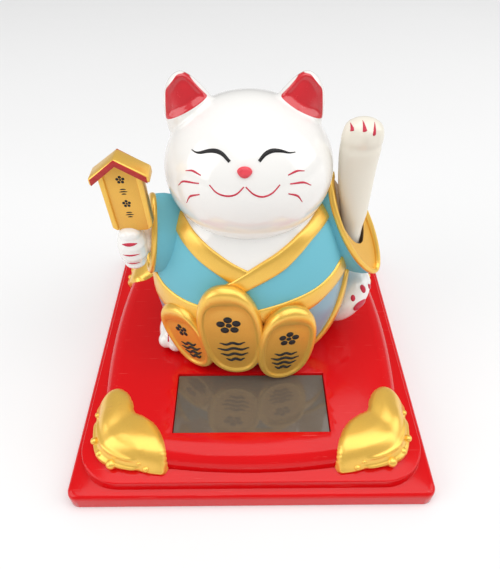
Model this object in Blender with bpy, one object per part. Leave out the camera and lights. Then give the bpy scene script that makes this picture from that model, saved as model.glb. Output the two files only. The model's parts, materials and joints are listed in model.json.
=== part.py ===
"""Beckoning cat figurine: a seated cat in a robe on a stepped cushion base.

The raised left arm rides on a cross axle. A lever on the same axle hangs down inside the body
and carries a magnet over a coil, which the solar cell in the base feeds.

Frame: origin at the middle of the base's underside, +Z up, the cat looks towards -Y.
Lengths are in metres.
"""

import math

import bmesh
import bpy
from mathutils import Matrix, Vector

MM = 0.001
GAP = 0.3 * MM                      # air left between pieces that touch
PAST = 1.0 * MM                     # how far a cut runs past the face it opens
THROUGH = 20 * MM                   # depth of a cut that goes right through a wall
WELD = 0.002 * MM

# ------------------------------------------------------------------ base
BASE_WIDTH = 103.0 * MM
BASE_DEPTH = 104.2 * MM
FLANGE_HEIGHT = 6.0 * MM
FLANGE_RADIUS = 3.0 * MM
FLANGE_EDGE = 0.6 * MM
FLANGE_DRAFT = 0.7 * MM             # the flange's wall leans in from foot to top
STEP_INSET = 2.5 * MM               # from the flange's foot to the step's wall
STEP_HEIGHT = 3.6 * MM
STEP_RADIUS = 12 * MM
STEP_EDGE = 1.3 * MM
CUSHION_INSET = 5.3 * MM            # from the flange's foot to the cushion's foot, at mid side
CUSHION_HEIGHT = 5.9 * MM
CUSHION_RADIUS = 12 * MM
CUSHION_BULGE = 2.6 * MM            # how far the sides swell between the corners
CUSHION_ROUND = 5.6 * MM            # how far the rim rolls in from foot to deck
CUSHION_CROWN = 0.4 * MM
BASE_WALL = 1.7 * MM
HOLLOW_INSET = 30.5 * MM            # last ring under the deck, in from the rolled rim
HOLLOW_RADIUS = 6 * MM
DECK_RINGS = (0.35, 0.75)           # rings across the deck, as shares of the way to its middle ring
DECK_REACH = 36.6 * MM              # from the rolled rim to the deck's middle ring

COVER_THICKNESS = 1.8 * MM
COVER_RIM = 2.4 * MM                # flange left around the bottom cover
POST_DIAMETER = 6.4 * MM
POST_INSET = 17 * MM                # screw posts, in from the flange's edges
POST_SPLIT = 5.0 * MM               # height where the cover's posts meet the shell's posts

# ------------------------------------------------------------------ solar cell and its window
CELL_WIDTH = 44 * MM
CELL_DEPTH = 19 * MM
CELL_THICKNESS = 1.2 * MM
CELL_FRONT_MARGIN = 14.6 * MM       # from the flange's front edge to the cell
CELL_SINK = 0.5 * MM                # glass below the deck
CELL_LEDGE = 1.6 * MM

# ------------------------------------------------------------------ corner ornaments
LOBE_LENGTH = 15.6 * MM
LOBE_WIDTH = 12.6 * MM
LOBE_RISE = 2.6 * MM                # above the deck
LOBE_OFFSET = 9.4 * MM             # from the corner along its side
ORNAMENT_INSET = 12.1 * MM           # lobe centre line, in from the flange's edge
ORNAMENT_REACH = 17.5 * MM            # length of the scroll band along each side
BAND_THICKNESS = 2.6 * MM
BAND_INSET = 4.6 * MM               # the band's corner, in from the cushion's foot
BEAD_DIAMETER = 3.4 * MM
BEAD_PITCH = 2.6 * MM
BEAD_STEP = 0.9 * MM                # how far the beads stand outside the band's corner
BEAD_LIFT = 0.8 * MM                # the corner bead sits this much higher
BAND_SPLAY = 1.2 * MM               # each band's far end, outwards from its corner
LOBE_FOOT_SHARE = 0.35              # height of the lobes' centres up the cushion
KNUCKLE_SHARE = 0.56                # corner knuckle's radius as a share of a lobe's width

# ------------------------------------------------------------------ cat
SHELL_WALL = 1.5 * MM
POST_HEIGHT = 9 * MM                # body's screw posts
BODY_Y = 4 * MM                     # the body's centre, behind the base's middle
BODY_WIDTH = 58 * MM
BODY_DEPTH = 44 * MM
BODY_HEIGHT = 51 * MM
BODY_SEGMENTS = 28
# share of the height, of the half width and of the half depth
BODY_STATIONS = (
    (0.00, 0.74, 0.86),
    (0.06, 0.86, 0.93),
    (0.16, 0.95, 0.98),
    (0.32, 1.00, 1.00),
    (0.48, 1.00, 0.98),
    (0.64, 0.965, 0.94),
    (0.78, 0.885, 0.87),
    (0.90, 0.77, 0.78),
    (1.00, 0.60, 0.66),
)

HEAD_WIDTH = 41.6 * MM
HEAD_DEPTH = 37.5 * MM
HEAD_HEIGHT = 36.6 * MM
HEAD_LIFT = 8.4 * MM                # head centre above the body's top
HEAD_FORWARD = 1.0 * MM             # head centre in front of the body's centre
HEAD_SEAM = 2.5 * MM                # seam between the shells, behind the head's centre

EAR_SPREAD = 14.0 * MM              # ear centre from the ears' middle
EAR_SHIFT = -1.4 * MM               # the head is carried a little to the cat's right
EAR_WIDTH = 14 * MM
EAR_DEPTH = 8 * MM
EAR_RISE = 4.6 * MM                 # ear tips above the head's crown
EAR_ROOT_DROP = 13 * MM             # from the tip down into the head
EAR_SPLAY = 1.4 * MM                # how far the tip stands outside the root
EAR_SEGMENTS = 12
# share of the drop from root to tip, share of the ear's width and depth
EAR_STATIONS = ((0.0, 0.78), (0.4, 0.78), (0.68, 0.52), (0.88, 0.28), (1.0, 0.10))

COIN_THICKNESS = 3.6 * MM
COIN_RIM = 1.3 * MM                 # flat rim around a coin's face
COIN_EDGE = 0.7 * MM                # rounding outside the rim
COIN_RECESS = 0.6 * MM              # the face lies this far behind the rim
COIN_SEGMENTS = 24
# width, height, x, distance in front of the body's front, height above the body's foot, tilt, turn
MIDDLE_COIN = (17.0, 37.5, -5.6, 1.0, 18.7, -6, -3)
RIGHT_COIN = (15.6, 30.0, 10.6, 0.3, 14.6, 5, 10)
LEFT_COIN = (15.6, 25.5, -18.5, -3.4, 11.2, -24, -34)

# ------------------------------------------------------------------ arm and its drive
PIVOT_INSET = 0.7 * MM              # inside the body's widest point
PIVOT_DROP = 17.2 * MM              # below the body's top
PIVOT_FORWARD = 2.0 * MM            # in front of the body's centre
SWING_DEGREES = 14
ARM_WALL = 1.1 * MM
ARM_ROOT_WIDTH = 7.2 * MM
ARM_ROOT_DEPTH = 6.4 * MM
ARM_CLEARANCE = 0.7 * MM
ARM_NECK = 0.78                     # least width and depth of the arm's room, as shares of the root's
ARM_CORE = 0.5 * MM                 # least half width of the arm or of its hollow
ARM_SEGMENTS = 12
SHOULDER_ROOM = 6 * MM              # room inside the arm, for the shoulder to pass the body's wall
# height above the pivot, sideways lean, forward lean, width and depth as shares of the root's
ARM_STATIONS = (
    (-3.2, 0.0, 0.0, 0.46, 0.46),
    (-2.2, 0.0, 0.0, 0.66, 0.66),
    (0.5, 0.0, 0.0, 0.76, 0.76),
    (7.0, 0.0, 0.0, 0.78, 0.78),
    (12.0, -0.3, 0.0, 1.00, 0.92),
    (19.0, -1.0, 0.1, 1.20, 1.03),
    (27.0, -1.6, 0.5, 1.34, 1.14),
    (32.5, -1.8, 1.2, 1.40, 1.24),
    (36.4, -1.9, 1.9, 1.34, 1.24),
    (38.6, -2.0, 2.2, 1.10, 1.06),
    (39.7, -2.0, 2.3, 0.56, 0.56),
)

AXLE_DIAMETER = 2.0 * MM
AXLE_END = -2.0 * MM                # inner end of the axle
AXLE_STUB = 0.4 * MM                # how far the axle shows outside the arm
LEVER_X = 4.0 * MM
LEVER_WIDTH = 4.0 * MM
LEVER_THICKNESS = 1.6 * MM
HUB_DIAMETER = 6.0 * MM
HUB_LENGTH = 5.0 * MM
MAGNET_DIAMETER = 8.0 * MM
MAGNET_THICKNESS = 3.4 * MM
MAGNET_LIFT = 1.0 * MM              # magnet above the coil
MAGNET_PLATE = 1.4 * MM             # the lever's foot, which holds the magnet

BRACKET_WALL = 1.5 * MM
BRACKET_INNER = 7.5 * MM            # clear width between the cheeks
BRACKET_HEIGHT = 13 * MM
BRACKET_BACK = 11 * MM              # from the axle to the back plate
BRACKET_SCREW_PITCH = 7.5 * MM      # each side of the lever
BRACKET_SCREW_LENGTH = 6 * MM
BRACKET_MARGIN = 3 * MM             # bracket beyond its screws, and cheeks in front of the axle
BOSS_DIAMETER = 4.8 * MM

BOARD_WIDTH = 34 * MM
BOARD_DEPTH = 15 * MM
BOARD_THICKNESS = 1.0 * MM
BOARD_STAND = 0.8 * MM
COIL_DIAMETER = 11 * MM
COIL_HEIGHT = 3.6 * MM
COIL_CORE = 3.0 * MM
LEAD_DIAMETER = 0.9 * MM
LEAD_X = (-5.0 * MM, -7.5 * MM)     # red lead, black lead
LEAD_INSET = 1.2 * MM               # in from the board's front edge
BOBBIN_FLANGE = 0.5 * MM
BOARD_SCREW_INSET = 2.4 * MM
CHIP_SIZE = (3.2 * MM, 4.4 * MM, 1.4 * MM)
CHIP_FORWARD = 4.4 * MM
PART_SHIFT = 1.0 * MM               # chip and capacitor, towards the coil from the middle of their space
CAPACITOR_DIAMETER = 3.6 * MM
CAPACITOR_LENGTH = 6.0 * MM
CAPACITOR_BACK = 0.4 * MM           # its near end, behind the coil's centre line

SCREW_SHANK = 2.0 * MM
SCREW_HEAD = 4.2 * MM
SCREW_HEAD_HEIGHT = 1.3 * MM
COVER_SCREW_LENGTH = 7 * MM
BODY_SCREW_LENGTH = 8 * MM
SMALL_SHANK = 1.4 * MM
SMALL_HEAD = 2.8 * MM
SMALL_HEAD_HEIGHT = 0.9 * MM
BOARD_SCREW_LENGTH = 2.6 * MM

# ------------------------------------------------------------------ values worked out from those above
STEP_TOP = FLANGE_HEIGHT + STEP_HEIGHT
DECK_EDGE_Z = STEP_TOP + CUSHION_HEIGHT
DECK_Z = DECK_EDGE_Z + CUSHION_CROWN
DECK_UNDER_Z = DECK_EDGE_Z - BASE_WALL
BODY_Z = DECK_Z + GAP
BODY_TOP = BODY_Z + BODY_HEIGHT
PIVOT = Vector((BODY_WIDTH / 2 - PIVOT_INSET, BODY_Y - PIVOT_FORWARD, BODY_TOP - PIVOT_DROP))
HEAD_CENTRE = Vector((0, BODY_Y - HEAD_FORWARD, BODY_TOP + HEAD_LIFT))
EAR_TOP = HEAD_CENTRE.z + HEAD_HEIGHT / 2 + EAR_RISE
HEAD_RADII = Vector((HEAD_WIDTH, HEAD_DEPTH, HEAD_HEIGHT)) / 2
CELL_Y = -BASE_DEPTH / 2 + CELL_FRONT_MARGIN + CELL_DEPTH / 2
CELL_TOP_Z = DECK_EDGE_Z - CELL_SINK
BOARD_Z = COVER_THICKNESS + BOARD_STAND + GAP
COIL_Z = BOARD_Z + BOARD_THICKNESS + GAP
MAGNET_Z = COIL_Z + COIL_HEIGHT + MAGNET_LIFT
BRACKET_BACK_Y = PIVOT.y + BRACKET_BACK
CHEEK_X = (LEVER_X - BRACKET_INNER / 2, LEVER_X + BRACKET_INNER / 2)

# ------------------------------------------------------------------ colours
MATERIALS = {
    # name: (colour, roughness, metallic)
    "red_plastic": ((0.62, 0.012, 0.014), 0.18, 0.0),
    "gold_paint": ((0.72, 0.42, 0.07), 0.34, 0.6),
    "white_gloss": ((0.88, 0.87, 0.85), 0.12, 0.0),
    "robe_blue": ((0.16, 0.52, 0.63), 0.38, 0.0),
    "arm_cream": ((0.86, 0.81, 0.70), 0.30, 0.0),
    "cell_glass": ((0.13, 0.10, 0.08), 0.08, 0.0),
    "steel": ((0.62, 0.62, 0.63), 0.28, 1.0),
    "board_green": ((0.03, 0.22, 0.09), 0.45, 0.0),
    "black_plastic": ((0.02, 0.02, 0.02), 0.45, 0.0),
    "copper": ((0.72, 0.32, 0.14), 0.30, 1.0),
    "lead_red": ((0.60, 0.03, 0.03), 0.50, 0.0),
    "bracket_white": ((0.75, 0.75, 0.72), 0.50, 0.0),
}


# ------------------------------------------------------------------ helpers
def clear_scene():
    """Empty the scene of its objects."""
    for obj in list(bpy.data.objects):
        bpy.data.objects.remove(obj, do_unlink=True)


def material(name):
    """Return the Principled material of that name, made once."""
    found = bpy.data.materials.get(name)
    if found:
        return found
    colour, roughness, metallic = MATERIALS[name]
    made = bpy.data.materials.new(name)
    made.use_nodes = True
    shader = made.node_tree.nodes["Principled BSDF"]
    shader.inputs["Base Color"].default_value = (*colour, 1)
    shader.inputs["Roughness"].default_value = roughness
    shader.inputs["Metallic"].default_value = metallic
    made.diffuse_color = (*colour, 1)
    return made


def add_object(name, bm):
    """Turn a bmesh into a linked object with outward faces."""
    bmesh.ops.recalc_face_normals(bm, faces=bm.faces)
    mesh = bpy.data.meshes.new(name)
    bm.to_mesh(mesh)
    bm.free()
    obj = bpy.data.objects.new(name, mesh)
    bpy.context.collection.objects.link(obj)
    return obj


def finish(obj, name, material_name):
    """Name a finished solid, give it its material and shade it smooth."""
    obj.name = name
    obj.data.name = name
    obj.data.materials.clear()
    obj.data.materials.append(material(material_name))
    obj.data.shade_smooth()
    obj.data.set_sharp_from_angle(angle=math.radians(40))
    return obj


def tidy_mesh(mesh):
    """Weld the hair-thin slivers that a Boolean can leave."""
    bm = bmesh.new()
    bm.from_mesh(mesh)
    bmesh.ops.remove_doubles(bm, verts=bm.verts, dist=WELD)
    bmesh.ops.dissolve_degenerate(bm, edges=bm.edges, dist=WELD)
    bm.to_mesh(mesh)
    bm.free()


def combine(target, tool, operation):
    """Apply one Boolean to target, and remove the tool."""
    modifier = target.modifiers.new(operation, "BOOLEAN")
    modifier.operation = operation
    modifier.solver = "EXACT"
    modifier.object = tool
    bpy.context.view_layer.update()
    evaluated = target.evaluated_get(bpy.context.evaluated_depsgraph_get())
    result = bpy.data.meshes.new_from_object(evaluated)
    target.modifiers.clear()
    target.data = result
    tidy_mesh(result)
    bpy.data.objects.remove(tool, do_unlink=True)
    return target


def cut(target, *tools):
    """Take the tools' volumes out of target."""
    for tool in tools:
        combine(target, tool, "DIFFERENCE")
    return target


def join(target, *tools):
    """Add the tools' volumes to target."""
    for tool in tools:
        combine(target, tool, "UNION")
    return target


def loft(rings, name="loft"):
    """Skin a list of equal rings and close both ends."""
    bm = bmesh.new()
    loops = [[bm.verts.new(point) for point in ring] for ring in rings]
    count = len(loops[0])
    for lower, upper in zip(loops, loops[1:]):
        for i in range(count):
            j = (i + 1) % count
            bm.faces.new((lower[i], lower[j], upper[j], upper[i]))
    for end in (loops[0], loops[-1]):
        middle = bm.verts.new(sum((v.co for v in end), Vector()) / count)
        for i in range(count):
            bm.faces.new((end[i], end[(i + 1) % count], middle))
    return add_object(name, bm)


def box(size, centre, name="box"):
    """A cuboid of a size about a centre."""
    bm = bmesh.new()
    bmesh.ops.create_cube(bm, size=1, matrix=Matrix.Translation(centre) @ Matrix.Diagonal((*size, 1)))
    return add_object(name, bm)


def cylinder(radius, start, end, segments=16, name="cylinder"):
    """A round bar from start to end."""
    start = Vector(start)
    axis = Vector(end) - start
    turn = axis.to_track_quat("Z", "Y").to_matrix().to_4x4()
    bm = bmesh.new()
    bmesh.ops.create_cone(
        bm, cap_ends=True, segments=segments, radius1=radius, radius2=radius, depth=axis.length,
        matrix=Matrix.Translation(start + axis / 2) @ turn,
    )
    return add_object(name, bm)


def ellipsoid(centre, radii, segments=20, rings=12, turn=None):
    """A ball stretched to three radii, turned about its centre."""
    bm = bmesh.new()
    bmesh.ops.create_uvsphere(
        bm, u_segments=segments, v_segments=rings, radius=1,
        matrix=Matrix.Translation(centre) @ (turn or Matrix()) @ Matrix.Diagonal((*radii, 1)),
    )
    return add_object("ellipsoid", bm)


def prism(points, axis, low, high, name="prism"):
    """Extrude a flat outline along X, Y or Z; points hold the two other coordinates in order."""
    place = {
        "X": lambda a, b, c: (c, a, b),
        "Y": lambda a, b, c: (a, c, b),
        "Z": lambda a, b, c: (a, b, c),
    }[axis]
    bm = bmesh.new()
    lower = [bm.verts.new(place(a, b, low)) for a, b in points]
    upper = [bm.verts.new(place(a, b, high)) for a, b in points]
    bm.faces.new(lower)
    bm.faces.new(upper)
    for i in range(len(points)):
        j = (i + 1) % len(points)
        bm.faces.new((lower[i], lower[j], upper[j], upper[i]))
    return add_object(name, bm)


def screw(name, head_at, direction, length, shank, head, head_height):
    """A pan-head screw: head_at is the underside of the head, direction is the way it drives."""
    head_at = Vector(head_at)
    direction = Vector(direction)
    obj = cylinder(head / 2, head_at - direction * head_height, head_at, 12)
    join(obj, cylinder(shank / 2, head_at - direction * head_height / 2, head_at + direction * length, 8))
    side = direction.orthogonal().normalized()
    across = direction.cross(side)
    top = head_at - direction * head_height
    for bar in (side, across):
        size = [abs(bar[i]) * head * 0.6 + abs(bar.cross(direction)[i]) * head * 0.14
                + abs(direction[i]) * head_height * 0.8 for i in range(3)]
        cut(obj, box(size, top))
    return finish(obj, name, "steel")


# ------------------------------------------------------------------ base outlines
CORNER_STEPS = 4
SIDE_STEPS = 6
LEAST_CORNER = 0.5 * MM


def outline(half_width, half_depth, corner, bulge, z):
    """One ring of the base: a rounded rectangle whose sides swell at their middles."""
    corner = min(corner, half_width - bulge, half_depth - bulge)
    centres = ((1, 1), (-1, 1), (-1, -1), (1, -1))
    reach_x = half_width - bulge - corner
    reach_y = half_depth - bulge - corner
    arcs = []
    for index, (sx, sy) in enumerate(centres):
        start = index * math.pi / 2
        arc = []
        for step in range(CORNER_STEPS + 1):
            angle = start + step / CORNER_STEPS * math.pi / 2
            arc.append(Vector((sx * reach_x + corner * math.cos(angle),
                               sy * reach_y + corner * math.sin(angle), z)))
        arcs.append(arc)
    points = []
    outward = (Vector((0, 1, 0)), Vector((-1, 0, 0)), Vector((0, -1, 0)), Vector((1, 0, 0)))
    for index, arc in enumerate(arcs):
        points += arc
        following = arcs[(index + 1) % 4][0]
        for step in range(1, SIDE_STEPS):
            share = step / SIDE_STEPS
            swell = bulge * (1 - (2 * share - 1) ** 2)
            points.append(arc[-1].lerp(following, share) + outward[index] * swell)
    return points


def base_outer_rings(grow=0.0):
    """Rings of the base's outside from the flange's foot to the deck, pushed out by grow."""
    def ring(inset, corner, bulge, z):
        return outline(BASE_WIDTH / 2 - inset + grow, BASE_DEPTH / 2 - inset + grow,
                       max(corner + grow, LEAST_CORNER), bulge, z)

    rings = [
        ring(0, FLANGE_RADIUS, 0, -grow),
        ring(FLANGE_DRAFT, FLANGE_RADIUS, 0, FLANGE_HEIGHT - FLANGE_EDGE + grow),
        ring(FLANGE_DRAFT + FLANGE_EDGE, FLANGE_RADIUS, 0, FLANGE_HEIGHT + grow),
        ring(STEP_INSET, STEP_RADIUS, 0, FLANGE_HEIGHT + grow * 1.01),
        ring(STEP_INSET + STEP_EDGE * 0.15, STEP_RADIUS, 0, STEP_TOP - STEP_EDGE + grow),
        ring(STEP_INSET + STEP_EDGE * 0.4, STEP_RADIUS, 0, STEP_TOP - STEP_EDGE * 0.3 + grow),
        ring(STEP_INSET + STEP_EDGE, STEP_RADIUS, 0, STEP_TOP + grow),
    ]
    steps = 5
    for step in range(steps + 1):
        angle = step / steps * math.pi / 2
        inset = CUSHION_INSET + CUSHION_ROUND * (1 - math.cos(angle))
        z = STEP_TOP + grow * 1.01 + CUSHION_HEIGHT * math.sin(angle)
        rings.append(ring(inset, CUSHION_RADIUS, CUSHION_BULGE * (1 - 0.2 * step / steps), z))
    for share in DECK_RINGS:
        inset = CUSHION_INSET + CUSHION_ROUND + share * DECK_REACH
        z = DECK_EDGE_Z + grow + CUSHION_CROWN * math.sin(share * math.pi / 2)
        rings.append(ring(inset, CUSHION_RADIUS * (1 - share / 2), CUSHION_BULGE * (1 - share) * 0.8, z))
    return rings


def base_inner_rings():
    """Rings of the base's hollow from the deck's underside down to the cover's pocket."""
    def ring(inset, corner, bulge, z):
        return outline(BASE_WIDTH / 2 - inset, BASE_DEPTH / 2 - inset, corner, bulge, z)

    inner = CUSHION_INSET + BASE_WALL
    roll = CUSHION_ROUND - BASE_WALL / 2
    top = [ring(inner + roll + HOLLOW_INSET, HOLLOW_RADIUS, 0, DECK_UNDER_Z)]
    steps = 4
    for step in range(steps, -1, -1):
        angle = step / steps * math.pi / 2
        z = STEP_TOP + (CUSHION_HEIGHT - BASE_WALL) * math.sin(angle)
        inset = inner + roll * (1 - math.cos(angle))
        top.append(ring(inset, CUSHION_RADIUS - BASE_WALL, 0.8 * CUSHION_BULGE, z))
    pocket = COVER_RIM
    shelf = COVER_THICKNESS + GAP
    return top + [
        ring(inner, STEP_RADIUS - BASE_WALL, 0, STEP_TOP - BASE_WALL),
        ring(inner, STEP_RADIUS - BASE_WALL, 0, shelf),
        ring(pocket, FLANGE_RADIUS, 0, shelf),
        ring(pocket, FLANGE_RADIUS, 0, 0),
    ]


def base_solid(grow=0.0):
    """The base's outer form as a solid, used to fit what sits on it."""
    return loft(base_outer_rings(grow), "base_solid")


def post_places():
    """Plan positions of the four corner screws."""
    reach_x = BASE_WIDTH / 2 - POST_INSET
    reach_y = BASE_DEPTH / 2 - POST_INSET
    return [(sx * reach_x, sy * reach_y) for sx in (-1, 1) for sy in (-1, 1)]


def body_screw_places():
    """Plan positions of the screws that hold the body's front and rear shells down."""
    x = -BODY_WIDTH / 2 * 0.42
    reach = BODY_DEPTH / 2 * 0.46
    return [(x, BODY_Y - reach), (x, BODY_Y + reach)]


def deck_opening():
    """Clearance for the lever and magnet where they pass through the deck."""
    arm = PIVOT.z - MAGNET_Z
    reach = arm * math.sin(math.radians(SWING_DEGREES)) + MAGNET_DIAMETER / 2 + ARM_CLEARANCE
    size = (MAGNET_DIAMETER + 2 * ARM_CLEARANCE, 2 * reach, 8 * BASE_WALL)
    return box(size, (LEVER_X, PIVOT.y, DECK_Z))


def make_base_shell():
    rings = list(reversed(base_outer_rings())) + list(reversed(base_inner_rings()))
    shell = loft(rings, "base_shell")
    for x, y in post_places():
        post = cylinder(POST_DIAMETER / 2, (x, y, POST_SPLIT + GAP), (x, y, DECK_EDGE_Z - BASE_WALL / 2), 20)
        join(shell, post)
        cut(shell, cylinder(SCREW_SHANK / 2 + GAP, (x, y, 0), (x, y, DECK_UNDER_Z - GAP), 12))
    ledge_z = DECK_EDGE_Z - CELL_SINK - CELL_THICKNESS - GAP
    tray_height = DECK_EDGE_Z - BASE_WALL / 2 - ledge_z + BASE_WALL / 2
    tray_size = (CELL_WIDTH + 2 * CELL_LEDGE, CELL_DEPTH + 2 * CELL_LEDGE, tray_height)
    recess_size = (CELL_WIDTH + 2 * GAP, CELL_DEPTH + 2 * GAP, THROUGH)
    window_size = (CELL_WIDTH - 2 * CELL_LEDGE, CELL_DEPTH - 2 * CELL_LEDGE, THROUGH)
    join(shell, box(tray_size, (0, CELL_Y, ledge_z - BASE_WALL / 2 + tray_height / 2)))
    cut(shell, box(recess_size, (0, CELL_Y, ledge_z + THROUGH / 2)))
    cut(shell, box(window_size, (0, CELL_Y, ledge_z)))
    cut(shell, deck_opening())
    for x, y in body_screw_places():
        cut(shell, cylinder(SCREW_SHANK / 2 + GAP, (x, y, DECK_UNDER_Z - PAST), (x, y, DECK_Z + PAST), 12))
    return finish(shell, "base_shell", "red_plastic")


def make_bottom_cover():
    inset = COVER_RIM + GAP
    half = (BASE_WIDTH / 2 - inset, BASE_DEPTH / 2 - inset)
    low = outline(*half, FLANGE_RADIUS, 0, 0)
    high = outline(*half, FLANGE_RADIUS, 0, COVER_THICKNESS)
    cover = loft([low, high], "base_bottom_cover")
    for x, y in post_places():
        join(cover, cylinder(POST_DIAMETER / 2, (x, y, COVER_THICKNESS / 2), (x, y, POST_SPLIT), 20))
        cut(cover, cylinder(SCREW_HEAD / 2 + GAP, (x, y, -PAST), (x, y, POST_SPLIT / 2), 16))
        cut(cover, cylinder(SCREW_SHANK / 2 + GAP, (x, y, 0), (x, y, POST_SPLIT + PAST), 12))
    for x, y in board_screw_places():
        stand = cylinder(SMALL_HEAD / 2, (x, y, COVER_THICKNESS / 2), (x, y, COVER_THICKNESS + BOARD_STAND), 16)
        join(cover, stand)
        cut(cover, cylinder(SMALL_SHANK / 2 + GAP, (x, y, COVER_THICKNESS / 3), (x, y, BOARD_Z + PAST), 12))
    return finish(cover, "base_bottom_cover", "red_plastic")


def make_cover_screws():
    for number, (x, y) in enumerate(post_places(), 1):
        head_at = (x, y, POST_SPLIT / 2 - GAP)
        screw(f"cover_screw_{number}", head_at, (0, 0, 1), COVER_SCREW_LENGTH,
              SCREW_SHANK, SCREW_HEAD, SCREW_HEAD_HEIGHT)


def make_solar_cell():
    size = (CELL_WIDTH, CELL_DEPTH, CELL_THICKNESS)
    cell = box(size, (0, CELL_Y, CELL_TOP_Z - CELL_THICKNESS / 2))
    return finish(cell, "solar_cell", "cell_glass")


# ------------------------------------------------------------------ ornaments
def make_ornament(name, sx, sy):
    """Two puffed lobes over a cushion corner, with a scroll band and three beads below."""
    edge_x = BASE_WIDTH / 2 - ORNAMENT_INSET
    edge_y = BASE_DEPTH / 2 - ORNAMENT_INSET
    top = DECK_EDGE_Z + LOBE_RISE
    lobe_z = STEP_TOP + LOBE_FOOT_SHARE * CUSHION_HEIGHT
    height = top - lobe_z
    side_lobe = (sx * edge_x, sy * (edge_y - LOBE_OFFSET), lobe_z)
    front_lobe = (sx * (edge_x - LOBE_OFFSET), sy * edge_y, lobe_z)
    ornament = ellipsoid(side_lobe, (LOBE_WIDTH / 2, LOBE_LENGTH / 2, height), 12, 8)
    join(ornament, ellipsoid(front_lobe, (LOBE_LENGTH / 2, LOBE_WIDTH / 2, height), 12, 8))
    knuckle = LOBE_WIDTH * KNUCKLE_SHARE
    join(ornament, ellipsoid((sx * edge_x, sy * edge_y, lobe_z), (knuckle, knuckle, height * 0.8), 12, 8))
    band_z = STEP_TOP + BAND_THICKNESS / 2
    band_x = BASE_WIDTH / 2 - CUSHION_INSET - BAND_THICKNESS * 0.2
    band_y = BASE_DEPTH / 2 - CUSHION_INSET - BAND_THICKNESS * 0.2
    corner = Vector((sx * (band_x - BAND_INSET), sy * (band_y - BAND_INSET), band_z))
    along_side = corner + Vector((sx * BAND_SPLAY, -sy * ORNAMENT_REACH, 0))
    along_front = corner + Vector((-sx * ORNAMENT_REACH, sy * BAND_SPLAY, 0))
    for end in (along_side, along_front):
        direction = (end - corner).normalized()
        turn = direction.to_track_quat("X", "Z").to_matrix().to_4x4()
        length = (end - corner).length
        radii = (length * 0.62, BAND_THICKNESS * 0.8, BAND_THICKNESS * 0.62)
        join(ornament, ellipsoid(corner + direction * length * 0.5, radii, 12, 6, turn))
    bead_corner = corner + Vector((sx, sy, 0)) * BEAD_STEP
    shifts = (
        Vector((0, 0, BEAD_LIFT)),
        Vector((-sx * BEAD_PITCH, sy * BEAD_STEP, 0)),
        Vector((sx * BEAD_STEP, -sy * BEAD_PITCH, 0)),
    )
    for shift in shifts:
        join(ornament, ellipsoid(bead_corner + shift, [BEAD_DIAMETER / 2] * 3, 8, 6))
    cut(ornament, base_solid(GAP))
    return finish(ornament, name, "gold_paint")


def make_ornaments():
    corners = (("front_left", -1, -1), ("front_right", 1, -1), ("rear_left", -1, 1), ("rear_right", 1, 1))
    for name, sx, sy in corners:
        make_ornament(f"corner_ornament_{name}", sx, sy)


# ------------------------------------------------------------------ body
def body_solid(grow=0.0):
    """The robed body's outer form, pushed out by grow."""
    rings = []
    for share, wide, deep in BODY_STATIONS:
        z = BODY_Z + share * BODY_HEIGHT
        if share == 0:
            z -= abs(grow)
        half_width = BODY_WIDTH / 2 * wide + grow
        half_depth = BODY_DEPTH / 2 * deep + grow
        ring = []
        for step in range(BODY_SEGMENTS):
            angle = 2 * math.pi * step / BODY_SEGMENTS
            ring.append(Vector((half_width * math.cos(angle), BODY_Y + half_depth * math.sin(angle), z)))
        rings.append(ring)
    return loft(rings, "body_solid")


def head_solid(grow=0.0, segments=26, rings=14):
    """The head's ball, pushed out by grow."""
    return ellipsoid(HEAD_CENTRE, HEAD_RADII + Vector((grow, grow, grow)), segments, rings)


def swing_space(outward=0.0, inward=0.0):
    """The room that the arm sweeps about its pivot, lofted from its own stations."""
    lean = math.sin(math.radians(SWING_DEGREES))
    rings = []
    for rise, aside, forward, wide, deep in ARM_STATIONS[1:-1]:
        half_width = ARM_ROOT_WIDTH / 2 * max(wide, ARM_NECK) + ARM_CLEARANCE
        half_depth = ARM_ROOT_DEPTH / 2 * max(deep, ARM_NECK) + ARM_CLEARANCE + abs(rise * MM) * lean
        z = PIVOT.z + (rise * MM if rise > 0 else -ARM_ROOT_DEPTH / 2 - ARM_CLEARANCE)
        low_x = PIVOT.x + aside * MM - half_width - inward
        high_x = PIVOT.x + aside * MM + half_width + outward
        low_y = PIVOT.y - forward * MM - half_depth
        high_y = PIVOT.y + half_depth
        rings.append([Vector((low_x, low_y, z)), Vector((high_x, low_y, z)),
                      Vector((high_x, high_y, z)), Vector((low_x, high_y, z))])
    return loft(rings, "swing_space")


def half_space(front, seam):
    """A block that holds everything before or behind a seam plane, short of it by half a gap."""
    size = 200 * MM
    y = seam - GAP / 2 - size / 2 if front else seam + GAP / 2 + size / 2
    return box((size, size, size), (0, y, 60 * MM))


def fitted_inside(tool):
    """Trim a post or boss so that it ends inside the body's wall."""
    return combine(tool, body_solid(-SHELL_WALL / 2), "INTERSECT")


def body_post(x, y, side):
    """A screw post on the shell's floor, tied to the wall by a web."""
    post = cylinder(POST_DIAMETER / 2, (x, y, BODY_Z + GAP), (x, y, BODY_Z + POST_HEIGHT), 16)
    web_length = BODY_DEPTH / 2
    web = box((POST_DIAMETER * 0.6, web_length, POST_HEIGHT * 0.6),
              (x, y + side * web_length / 2, BODY_Z + POST_HEIGHT * 0.4))
    return fitted_inside(join(post, web))


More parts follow.
